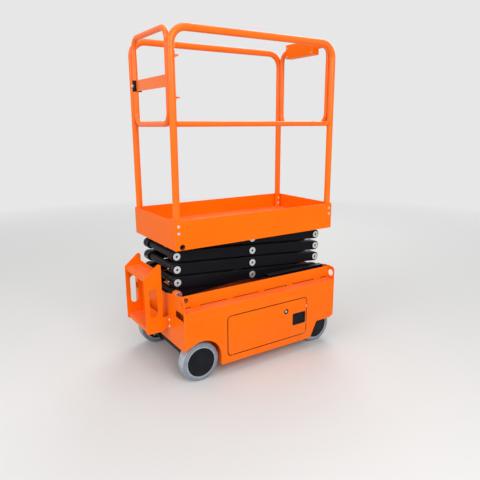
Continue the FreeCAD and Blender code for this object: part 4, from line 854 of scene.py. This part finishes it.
def makeCylinder():
    look = cylinderLook
    body = bodyOf["cylinder_barrel"]
    foot, sideways = jointAt["cylinder_foot"], Vector((0, 1, 0))
    along = Vector(joints["cylinder_stroke"]["axis"]).normalized()
    low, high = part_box("cylinder_barrel")
    radius = (high.y - low.y) / 2
    mouth = (high.x - radius * along.z - foot.x) / along.x
    out, start = look["glandRadius"], mouth - look["glandLength"]
    gland = [(start, radius - 0.001), (start, out), (mouth - 0.003, out), (mouth + 0.001, out - 0.004),
             (mouth + 0.001, radius - 0.008)]
    wiper = [(mouth, 0.0235), (mouth, 0.029), (mouth + 0.004, 0.0275), (mouth + 0.006, 0.0235)]
    collectTurned("cylinder_gland", body, "zinc", gland, foot, along, 48)
    collectTurned("cylinder_wiper", body, "black_plastic", wiper, foot, along, 40)
    beads = [circlePlaces(foot + along * (start - 0.001), along, radius + 0.0005, 40),
             circlePlaces(foot + along * look["footWeld"], along, radius + 0.0003, 40)]
    addBeads("cylinder_welds", body, beads, look["bead"], closed=True, material="black_paint")

    offset, skin = sideways * look["pipeSide"], sideways * radius * 0.9
    port, entry = [foot + along * distance for distance in look["ports"]]
    route = [port + skin, port + offset, entry + offset, entry + skin]
    pipe = runTree(pipeTree, "zinc", {"Pipe Radius": look["pipeRadius"], "Bend Radius": look["pipeBend"]},
                   lineMesh([route]))
    collect("cylinder_pipe", body, "zinc", pipe)
    addBolts("cylinder_pipe", body, "m12", [(place + sideways * (radius - 0.001), sideways)
                                            for place in (port, entry)])
    hold = look["pipeRadius"] + 0.0001
    rings = ((look["clampHalf"], radius, look["clampThick"], foot, 48),
             (look["holdHalf"], hold, look["holdThick"], foot + offset, 20))
    for distance in look["clamps"]:
        for half, inner, thick, centre, segments in rings:
            collectTurned("cylinder_clamps", body, "black_plastic",
                          sleeve(distance - half, distance + half, inner, inner + thick),
                          centre, along, segments)
    collar = [(-0.036, 0.0225), (-0.036, 0.027), (-0.028, 0.0275), (-0.024, 0.0225)]
    collectTurned("cylinder_rod_collar", bodyOf["cylinder_rod"], "chrome_rod", collar,
                  foot + along * (mouth + look["rodEye"]), along, 36)


makeCylinder()
print("cylinder made")


# Running gear fasteners

gearLook = {
    "motorBolts": 6, "motorBoltCircle": 0.058, "motorBoltTurn": 0.3, "motorSide": 0.2,
    "hangerSide": 0.12, "hangerHeights": (0.235, 0.268), "hangerHalf": 0.013,
    "jamNut": (0.160, 0.168, 0.0055, 0.0105),   # its two ends along the rod, bore and outside
}


def makeRunningGear():
    look = gearLook
    low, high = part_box("rear_axle")
    axleX, z = (low + high).xz / 2
    kingX, kingY, pinX = jointAt["steer"].x, abs(jointAt["steer"].y), jointAt["tie_rod_pivot"].x
    motors, kingpins, hangers = [], [], []
    for sideName, side in sides:
        circle = circlePlaces((axleX, side * look["motorSide"], z), (0, 1, 0), look["motorBoltCircle"],
                              look["motorBolts"], look["motorBoltTurn"])
        motors += [seat("rear_axle", place, (0, -side, 0), 0.1) for place in circle]
        kingpins += [seat("front_axle", (kingX, side * kingY, z), (0, 0, way)) for way in (1, -1)]
        hangerY, half = side * look["hangerSide"], look["hangerHalf"]
        hangers += [seat("front_axle", (x, hangerY, height), (0, -side, 0), 0.05)
                    for height in look["hangerHeights"] for x in (kingX - half, kingX + half)]
    addBolts("rear_axle_bolts", "chassis", "m8", motors)
    addBolts("kingpin_nuts", "chassis", "kingpinNut", kingpins)
    addBolts("hanger_bolts", "chassis", "m8", hangers)
    rodLow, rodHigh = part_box("tie_rod")
    for sideName, side in sides:
        knuckle = f"knuckle_{sideName}"
        addBolts(f"{knuckle}_nut", bodyOf[knuckle], "m8", [seat(knuckle, (pinX, side * kingY, z), upward)])
        collectTurned("tie_rod_nuts", bodyOf["tie_rod"], "zinc", sleeve(*look["jamNut"]),
                      (pinX, 0, (rodLow.z + rodHigh.z) / 2), (0, side, 0), 6)


makeRunningGear()
print("running gear made")


# Doors: a lock and a charging port in each

doorLook = {"lockEye": 0.0084, "lockDepth": 0.0022, "key": (0.0022, 0.0006, 0.010), "edge": 0.0016}


def makeDoorFittings(sideName, side):
    look = doorLook
    name = f"door_fittings_{sideName}"
    body, outward = bodyOf[name], (0, side, 0)
    # the lock is the narrowest solid
    low, high = min(solidBoxes(name), key=lambda box: box[1].x - box[0].x)
    width, depth = high.x - low.x, high.y - low.y
    form = nodeForm(name, flat=True)
    for island in islandsOf(form):
        first, last = boxOf(island)
        if last.x - first.x < width + 0.001:
            bmesh.ops.delete(form, geom=island, context="VERTS")
    port = breakEdges(meshFrom(form), look["edge"])
    place = Vector(((low.x + high.x) / 2, side * max(abs(low.y), abs(high.y)), (low.z + high.z) / 2))
    radius, eye, sunk = width / 2, look["lockEye"], -look["lockDepth"]
    ring = lathe([(-depth, 0), (-depth, radius), (-0.0012, radius), (0, radius - 0.0014), (0, eye + 0.0035),
                  (sunk, eye + 0.0015), (sunk, 0)], place, outward, 48)
    finishPiece(f"{name}_moulding", joinMeshes([port, ring]), slotOf[name], body, [name], smoothAngle=35)
    core = [(sunk, 0), (sunk, eye), (-0.0008, eye), (-0.0002, eye - 0.0008), (-0.0002, 0)]
    collectTurned(f"lock_core_{sideName}", body, "chrome_rod", core, place, outward, 36)
    half = Vector(look["key"]) / 2
    middle = place - Vector(outward) * half.y
    collect(f"lock_keyway_{sideName}", body, "black_plastic", boxMesh(middle - half, middle + half))


for sideName, side in sides:
    makeDoorFittings(sideName, side)
print("door fittings made")


# Heavy units behind the doors

batteryLook = {
    "cases": 2, "gap": 0.006, "lid": 0.016, "lidLap": 0.003, "crown": 0.014, "caps": 3,
    "ribs": 7, "ribInset": 0.018, "ribHalf": 0.003,
    "postInset": 0.022, "postSide": 0.026, "linkHalf": 0.008, "strapSide": 0.021, "strapHalf": 0.009,
    "strapTop": 0.006, "strapNut": 0.012,
}


def makeBatteries():
    look = batteryLook
    body = bodyOf["battery_pack"]
    low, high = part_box("battery_pack")
    length = (high.x - low.x - look["gap"] * (look["cases"] - 1)) / look["cases"]
    top, middle = high.z - look["crown"], (low + high) / 2
    seam, lap, rib = top - look["lid"], look["lidLap"], look["ribHalf"]
    postY, strapY = low.y + look["postSide"], high.y - look["strapSide"]
    meshes, caps, posts = [], [], []
    for index in range(look["cases"]):
        x0 = low.x + index * (length + look["gap"])
        x1 = x0 + length
        meshes.append(softBox((x0 + lap, low.y + lap, low.z), (x1 - lap, high.y - lap, seam)))
        meshes.append(softBox((x0, low.y, seam), (x1, high.y, top)))
        for step in range(look["ribs"]):
            x = x0 + look["ribInset"] + step * (length - 2 * look["ribInset"]) / (look["ribs"] - 1)
            meshes.append(softBox((x - rib, low.y + 0.001, low.z + 0.01),
                                  (x + rib, high.y - 0.001, seam), 0.001))
        pitch = length / (look["caps"] + 1)
        caps += [((x0 + pitch * (cap + 1), middle.y, top), upward) for cap in range(look["caps"])]
        posts += [((x, postY, top), upward) for x in (x0 + look["postInset"], x1 - look["postInset"])]
    finishPiece("battery_cases", joinMeshes(meshes), "black_plastic", body, ["battery_pack"])
    addBolts("battery_caps", body, "batteryCap", caps, "red_plastic")
    addBolts("battery_posts", body, "m8", posts)
    half, near, far = look["linkHalf"], posts[1][0][0], posts[2][0][0]
    collect("battery_link", body, "brass", softBox((near - half, postY - half, top + 0.001),
                                                   (far + half, postY + half, top + 0.004), 0.0008))
    half, strapTop = look["strapHalf"], top + look["strapTop"]
    collect("battery_strap", body, "black_paint",
            softBox((low.x, strapY - half, top + 0.001), (high.x, strapY + half, strapTop), 0.001))
    addBolts("battery_strap_nuts", body, "m6", [
        ((x, strapY, strapTop), upward) for x in (low.x + look["strapNut"], high.x - look["strapNut"])])


pumpLook = {
    "plate": 0.006, "tankShare": 0.52, "tankInset": 0.006, "tankDrop": 0.040, "fillerAt": 0.045,
    "filler": [(0, 0), (0, 0.020), (0.010, 0.020), (0.013, 0.017), (0.013, 0)],
    "motorRadius": 0.052, "motorGap": 0.004,
    "fins": 28, "finDepth": 0.007, "finThick": 0.0025, "finStop": 0.050,
    "blockShare": (0.50, 0.72), "blockHalf": 0.030,
    "boltStart": 0.018, "boltPitch": 0.026, "boltSide": 0.014,
}


def makePump():
    look = pumpLook
    low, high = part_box("pump_unit")
    body = bodyOf["pump_unit"]
    length, middleY = high.x - low.x, (low.y + high.y) / 2
    tankEnd, tankTop = low.x + length * look["tankShare"], high.z - look["tankDrop"]
    base, inset = low.z + look["plate"], look["tankInset"]
    tank = softBox((low.x, low.y + inset, base), (tankEnd, high.y - inset, tankTop), 0.010)
    filler = lathe(look["filler"], (low.x + look["fillerAt"], middleY, tankTop), upward, 28)
    finishPiece("pump_tank", joinMeshes([tank, filler]), "black_plastic", body, ["pump_unit"])
    collect("pump_base", body, "black_paint", softBox(low, (high.x, high.y, base), 0.001))

    radius, reach = look["motorRadius"], high.x - tankEnd
    motorZ = base + radius + look["finDepth"] + look["motorGap"]
    motor = [(0, 0), (0, radius), (0.012, radius), (0.014, radius - 0.004),
             (reach - 0.030, radius - 0.004), (reach - 0.028, radius), (reach - 0.010, radius),
             (reach - 0.002, radius - 0.008), (reach - 0.002, 0)]
    collectTurned("pump_motor", body, "black_paint", motor, (tankEnd, middleY, motorZ), (1, 0, 0), 48)
    fins = runTree(finTree, "black_paint", {
        "Count": look["fins"], "Ring Radius": radius - 0.001, "Fin Depth": look["finDepth"],
        "Fin Thickness": look["finThick"], "Fin Length": reach - look["finStop"]})
    fins.transform(Matrix.Translation((tankEnd + reach / 2 - 0.007, middleY, motorZ))
                   @ Matrix.Rotation(math.pi / 2, 4, "Y"))
    collect("pump_motor", body, "black_paint", fins)

    near, far = [low.x + length * share for share in look["blockShare"]]
    half, blockTop = look["blockHalf"], high.z - 0.012
    collect("pump_block", body, "zinc", softBox((near, middleY - half, motorZ + radius + 0.009),
                                                (far, middleY + half, blockTop), 0.002))
    addBolts("pump_block", body, "m10", [
        ((near + look["boltStart"] + look["boltPitch"] * step, middleY + across, blockTop), upward)
        for step in range(2) for across in (-look["boltSide"], look["boltSide"])])


makeBatteries()
makePump()
print("heavy units made")


# Ladder

ladderLook = {
    "bolts": (0.357, 0.315), "boltSide": 0.178, "stepX": -0.600, "steps": (0.630, 0.318),
    "studArea": (0.056, 0.262), "studs": (3, 11), "stud": (0.010, 0.010, 0.0016), "studShift": 0.002,
}


def makeLadder():
    look = ladderLook
    stepX = look["stepX"]
    rows = [seat("ladder", (stepX, side * look["boltSide"], height), (-1, 0, 0))
            for sideName, side in sides for height in look["bolts"]]
    addBolts("ladder_bolts", "chassis", "m8", rows)
    for height in look["steps"]:
        place, facing = seat("ladder", (stepX, 0.01, height + 0.02), upward, 0.02)
        studs = raisedMarks(look["studArea"], look["studs"], 12, look["stud"], 0.0,
                            (stepX - look["studShift"], 0, place.z))
        collect("ladder_studs", "chassis", "orange_paint", studs)


makeLadder()
print("ladder made")


# Platform: tread, post bolts, welds, gate fittings

treadLook = {"inset": (0.050, 0.030), "pitch": 0.024, "mark": (0.019, 0.0065, 0.0011), "turn": 45}


def makeTread():
    look = treadLook
    low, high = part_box("floor_sheet")
    size = [high[i] - low[i] - look["inset"][i] * 2 for i in range(2)]
    count = [int(size[0] / look["pitch"]) + 1, int(size[1] / look["pitch"] / 2) * 2 + 1]
    tread = raisedMarks(size, count, 6, look["mark"], look["turn"],
                        (*(low + high).xy / 2, high.z))
    finishPiece("floor_tread", tread, "orange_paint", bodyOf["floor_sheet"])


railLook = {"postRadius": 0.020, "midRadius": 0.015, "boltHeights": (0.944, 0.904), "bead": 0.0024}
gateLook = {
    "tube": 0.016, "bead": 0.0018, "plateSide": 0.0155, "plateHalf": 0.003, "plateEnd": 0.004,
    "hinges": (1.64, 1.85), "hingeSeats": ((0.03, 1, 0.12), (-0.05, -1, 0.1)),   # offset, facing, search
    "clamp": 0.0024, "housing": 0.030, "guideHalf": 0.013, "screwInset": 0.010,
    "bolt": [(0, 0), (0, 0.0055), (0.033, 0.0055), (0.0375, 0.003), (0.0375, 0)], "boltReach": 0.038,
}


def saddle(centre, along, postRadius, railRadius, count=36):
    # where a level rail meets an upright post
    places = []
    for place in circlePlaces((0, 0, 0), upward, railRadius, count):
        reach = math.sqrt(max(0.0, postRadius ** 2 - place.x ** 2))
        places.append(Vector(centre) + Vector((along * reach, place.x, place.y)))
    return places


def makeRailFittings():
    look = railLook
    radius = look["postRadius"]
    low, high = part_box("side_rail_right")
    gateLow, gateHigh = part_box("gate")
    latchLow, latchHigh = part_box("gate_latch")
    posts, postY = (low.x + radius, high.x - radius), abs(low.y) - radius
    bolts, nuts, rings = [], [], []
    for sideName, side in sides:
        for along, x in zip((1, -1), posts):
            for height in look["boltHeights"]:
                bolts.append(seat("platform_tray", (x, side * 0.3, height), (0, side, 0)))
                nuts.append(seat(f"side_rail_{sideName}", (x, side * 0.25, height), (0, -side, 0), 0.1))
            centre = (x, side * postY, gateLow.z + gateLook["tube"])
            rings.append(saddle(centre, along, radius, look["midRadius"] + 0.001))
            rings.append(circlePlaces((x, side * postY, low.z + 0.0008), upward, radius + 0.0005, 36))
    addBolts("post_bolts", "platform", "m8", bolts)
    addBolts("post_nuts", "platform", "m8", nuts)
    addBeads("rail_welds", "platform", rings, look["bead"], closed=True)
    inner, end = gateHigh.y - gateLook["tube"] - gateLook["plateSide"], gateLook["plateEnd"]
    for side in (-1, 1):
        for face in (-gateLook["plateHalf"], gateLook["plateHalf"]):
            ends = (latchLow.z + end, latchHigh.z - end)
            line = [Vector((posts[0] + face, side * inner, z)) for z in ends]
            addBeads("gate_welds", "gate", [line], gateLook["bead"])


def makeGateFittings():
    look = gateLook
    pivot = jointAt["gate_hinge"]
    heads = [seat("side_rail_right", (pivot.x, pivot.y, height + offset), (0, 0, way), search)
             for height in look["hinges"] for offset, way, search in look["hingeSeats"]]
    addBolts("gate_hinge_pins", "platform", "m10", heads)
    low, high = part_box("gate_latch")
    gateLow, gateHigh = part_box("gate")
    face, middle, guide = low.y + look["housing"], (low + high) / 2, look["guideHalf"]
    housing = joinMeshes([
        softBox(low, (high.x, face - 0.002, high.z)),
        softBox((low.x + 0.002, face - 0.004, middle.z - guide),
                (high.x - 0.002, face + 0.004, middle.z + guide), 0.002)])
    finishPiece("gate_latch_housing", housing, slotOf["gate_latch"], "gate", ["gate_latch"])

    upright = Vector((gateLow.x + look["tube"], gateHigh.y - look["tube"], low.z))
    tall, inner = high.z - low.z, look["tube"] + 0.0001
    outer = inner + look["clamp"]
    clamp = [(0.002, inner), (0.002, outer - 0.0006), (0.003, outer), (tall - 0.003, outer),
             (tall - 0.002, outer - 0.0006), (tall - 0.002, inner)]
    collectTurned("gate_latch_clamp", "gate", "black_plastic", clamp, upright, upward, 40)
    addBolts("gate_latch_clamp_bolts", "gate", "m8",
             [(upright + Vector((-outer + 0.0004, 0, tall / 2)), (-1, 0, 0))])
    collectTurned("gate_latch_bolt", "gate", "zinc", look["bolt"],
                  (middle.x, high.y - look["boltReach"], middle.z), (0, 1, 0), 24)
    heights = (low.z + look["screwInset"], high.z - look["screwInset"])
    y = (low.y + face) / 2
    screws = [((x, y, z), (way, 0, 0)) for x, way in ((low.x, -1), (high.x, 1)) for z in heights]
    addBolts("gate_latch_screws", "gate", "screw", screws)


makeTread()
makeRailFittings()
makeGateFittings()
print("platform fitted")


# Control panel

panelLook = {
    "plate": 0.006, "screwInset": 0.008, "boxScrews": (0.014, 0.014, 0.022),   # from the ends, below, above
    "clamps": (-0.125, 0.075), "tube": 0.016, "clampHalf": 0.010,
    "stop": -0.075, "key": 0.075,
    "stopRing": [(0, 0), (0, 0.0195), (0.002, 0.0195), (0.0032, 0.0180), (0.0032, 0)],
    "boot": [(0, 0), (0, 0.0185), (0.003, 0.0185), (0.004, 0.0150), (0.0055, 0.0165), (0.007, 0.0125),
             (0.0085, 0.0140), (0.010, 0.0100), (0.0115, 0.0110), (0.013, 0.0060), (0.013, 0)],
    "barrel": [(0, 0), (0, 0.0105), (0.003, 0.0105), (0.004, 0.0095), (0.004, 0.0065), (0.003, 0.006),
               (0.003, 0)],
    "blocks": (   # piece, finish, place across, bottom and top over the plate, half sizes, broken edge
        ("panel_key", "chrome_rod", 0.075, 0.002, 0.016, 0.0012, 0.005, 0.0006),
        ("panel_rockers", "black_cap", 0.034, 0, 0.005, 0.010, 0.006, 0.0018),
        ("panel_rockers", "black_cap", 0.052, 0, 0.005, 0.010, 0.006, 0.0018),
        ("panel_display", "dark_glass", -0.114, 0, 0.0012, 0.014, 0.010, 0.0005)),
}


def makePanel():
    look = panelLook
    body = bodyOf["control_panel"]
    low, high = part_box("control_panel")
    x, y = (low + high).xy / 2
    top = low.z + look["plate"]
    room = high.z - top
    finishPiece("panel_plate", softBox(low, (high.x, high.y, top), 0.0015), slotOf["control_panel"], body,
                ["control_panel"])
    head = [(0.003, 0), (0.003, 0.009), (room * 0.45, 0.009), (room * 0.5, 0.0155), (room * 0.78, 0.0165),
            (room * 0.94, 0.0135), (room, 0.006), (room, 0)]
    stick = [(0.010, 0), (0.010, 0.0045), (0.015, 0.0045), (0.017, 0.0075), (room - 0.004, 0.0085),
             (room - 0.001, 0.006), (room, 0.002), (room, 0)]
    for name, material, offset, profile, segments in (
            ("panel_stop_ring", "yellow_plastic", look["stop"], look["stopRing"], 40),
            ("panel_stop_head", "red_plastic", look["stop"], head, 40),
            ("panel_boot", "black_plastic", 0, look["boot"], 36),
            ("panel_stick", "black_cap", 0, stick, 28),
            ("panel_key", "chrome_rod", look["key"], look["barrel"], 36)):
        collectTurned(name, body, material, profile, (x, y + offset, top), upward, segments)
    for name, material, offset, bottom, rise, halfX, halfY, edge in look["blocks"]:
        collect(name, body, material, softBox((x - halfX, y + offset - halfY, top + bottom),
                                              (x + halfX, y + offset + halfY, top + rise), edge))

    inset = look["screwInset"]
    corners = [((cx, cy, top), upward) for cx in (low.x + inset, high.x - inset)
               for cy in (low.y + inset, high.y - inset)]
    boxLow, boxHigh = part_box("control_box")
    end, under, over = look["boxScrews"]
    sideScrews = [seat("control_box", (boxLow.x, cy, cz), (-1, 0, 0))
                  for cy in (boxLow.y + end, boxHigh.y - end) for cz in (boxLow.z + under, boxHigh.z - over)]
    addBolts("panel_screws", body, "screw", corners + sideScrews)
    loopLow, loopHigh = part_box("front_rail")
    half, tube = look["clampHalf"], look["tube"]
    for offset in look["clamps"]:
        centre = ((loopLow.x + loopHigh.x) / 2, offset, loopHigh.z - tube)
        collectTurned("panel_clamps", body, "black_paint", sleeve(-half, half, tube + 0.0002, tube + 0.0028),
                      centre, (0, 1, 0), 40)


makePanel()
finishCollected()


# Studio

studio = {
    "floorRadius": 14.0,
    "fade": (1.8, 7.0),       # the floor melts into the backdrop between these distances
    "floorColor": (0.66, 0.66, 0.655),
    "backdrop": (0.80, 0.80, 0.80),
    "fill": 0.60,
    "lamps": [   # place, aimed at, size, power
        ((-0.8, -4.8, 3.4), (0, 0, 0.8), 3.2, 190),
        ((-4.8, -0.8, 3.2), (0, 0, 0.8), 3.0, 105),
        ((3.6, 3.6, 4.0), (0, 0, 0.9), 3.2, 130),
        ((0, 0, 6.0), (0, 0, 0), 3.5, 60),
    ],
}


def makeFloor():
    form = bmesh.new()
    bmesh.ops.create_circle(form, cap_ends=True, segments=96, radius=studio["floorRadius"])
    floor = addObject("floor", meshFrom(form, "floor"))
    paint, tree, shader = newMaterial("floorPaint")
    vector = addNode(tree, "ShaderNodeTexCoord").outputs["Object"]
    cloud = noise(tree, vector, 0.8, 4)
    tone = mixColor(tree, cloud, studio["floorColor"], [c * 0.97 for c in studio["floorColor"]])
    reach = addNode(tree, "ShaderNodeVectorMath", {0: vector}, operation="LENGTH")
    gone = ramp(tree, reach.outputs["Value"], *studio["fade"])
    left = mathNode(tree, "SUBTRACT", 1.0, gone)
    for label, value in (("Base Color", tone), ("Alpha", left), ("Roughness", 0.8),
                         ("Specular IOR Level", 0.2)):
        plug(tree, value, shader[label])
    floor.data.materials.append(paint)


def makeSky():
    world = bpy.data.worlds.new("studioSky")
    bpy.context.scene.world = world
    world.use_nodes = True
    sky = world.node_tree
    background = sky.nodes["Background"]
    path = addNode(sky, "ShaderNodeLightPath")
    seen = mathNode(sky, "MAXIMUM", path.outputs["Is Camera Ray"], path.outputs["Is Glossy Ray"])
    seen = mathNode(sky, "MAXIMUM", seen, path.outputs["Is Transmission Ray"])
    strength = ramp(sky, seen, 0.0, 1.0)
    strength.node.inputs["To Min"].default_value = studio["fill"]
    strength.node.inputs["To Max"].default_value = 1.0
    background.inputs["Color"].default_value = (*studio["backdrop"], 1)
    plug(sky, strength, background.inputs["Strength"])


def makeLamps():
    for index, (place, aim, size, power) in enumerate(studio["lamps"]):
        lamp = bpy.data.lights.new(f"softLamp{index}", "AREA")
        lamp.size = size
        lamp.energy = power
        holder = addObject(lamp.name, lamp)
        holder.location = place
        holder.rotation_mode = "QUATERNION"
        holder.rotation_quaternion = (Vector(aim) - Vector(place)).to_track_quat("-Z", "Y")


bpy.context.scene.view_settings.view_transform = "Standard"
makeFloor()
makeSky()
makeLamps()
print("studio ready")

# The photograph's own camera, with the object drawn larger in the same perspective.
# focal is in pixels of the 480-pixel frame, the turns are in radians.
photoCamera = {
    "place": (-1.6113, -2.658, 1.495),
    "yaw": 0.574,
    "pitch": -0.237,
    "roll": -0.004,
    "focal": 280.67,
    "framePixels": 480,
    "enlarge": 1.7,
}


def makeCamera():
    cameraData = bpy.data.cameras.new("photoCamera")
    cameraData.sensor_fit = "HORIZONTAL"
    half = photoCamera["framePixels"] / 2
    cameraData.angle = 2 * math.atan(half / (photoCamera["focal"] * photoCamera["enlarge"]))
    camera = addObject("photoCamera", cameraData)
    turn = (Matrix.Rotation(-photoCamera["yaw"], 4, "Z")
            @ Matrix.Rotation(math.pi / 2 + photoCamera["pitch"], 4, "X")
            @ Matrix.Rotation(photoCamera["roll"], 4, "Z"))
    camera.matrix_world = Matrix.Translation(photoCamera["place"]) @ turn
    bpy.context.scene.camera = camera


makeCamera()
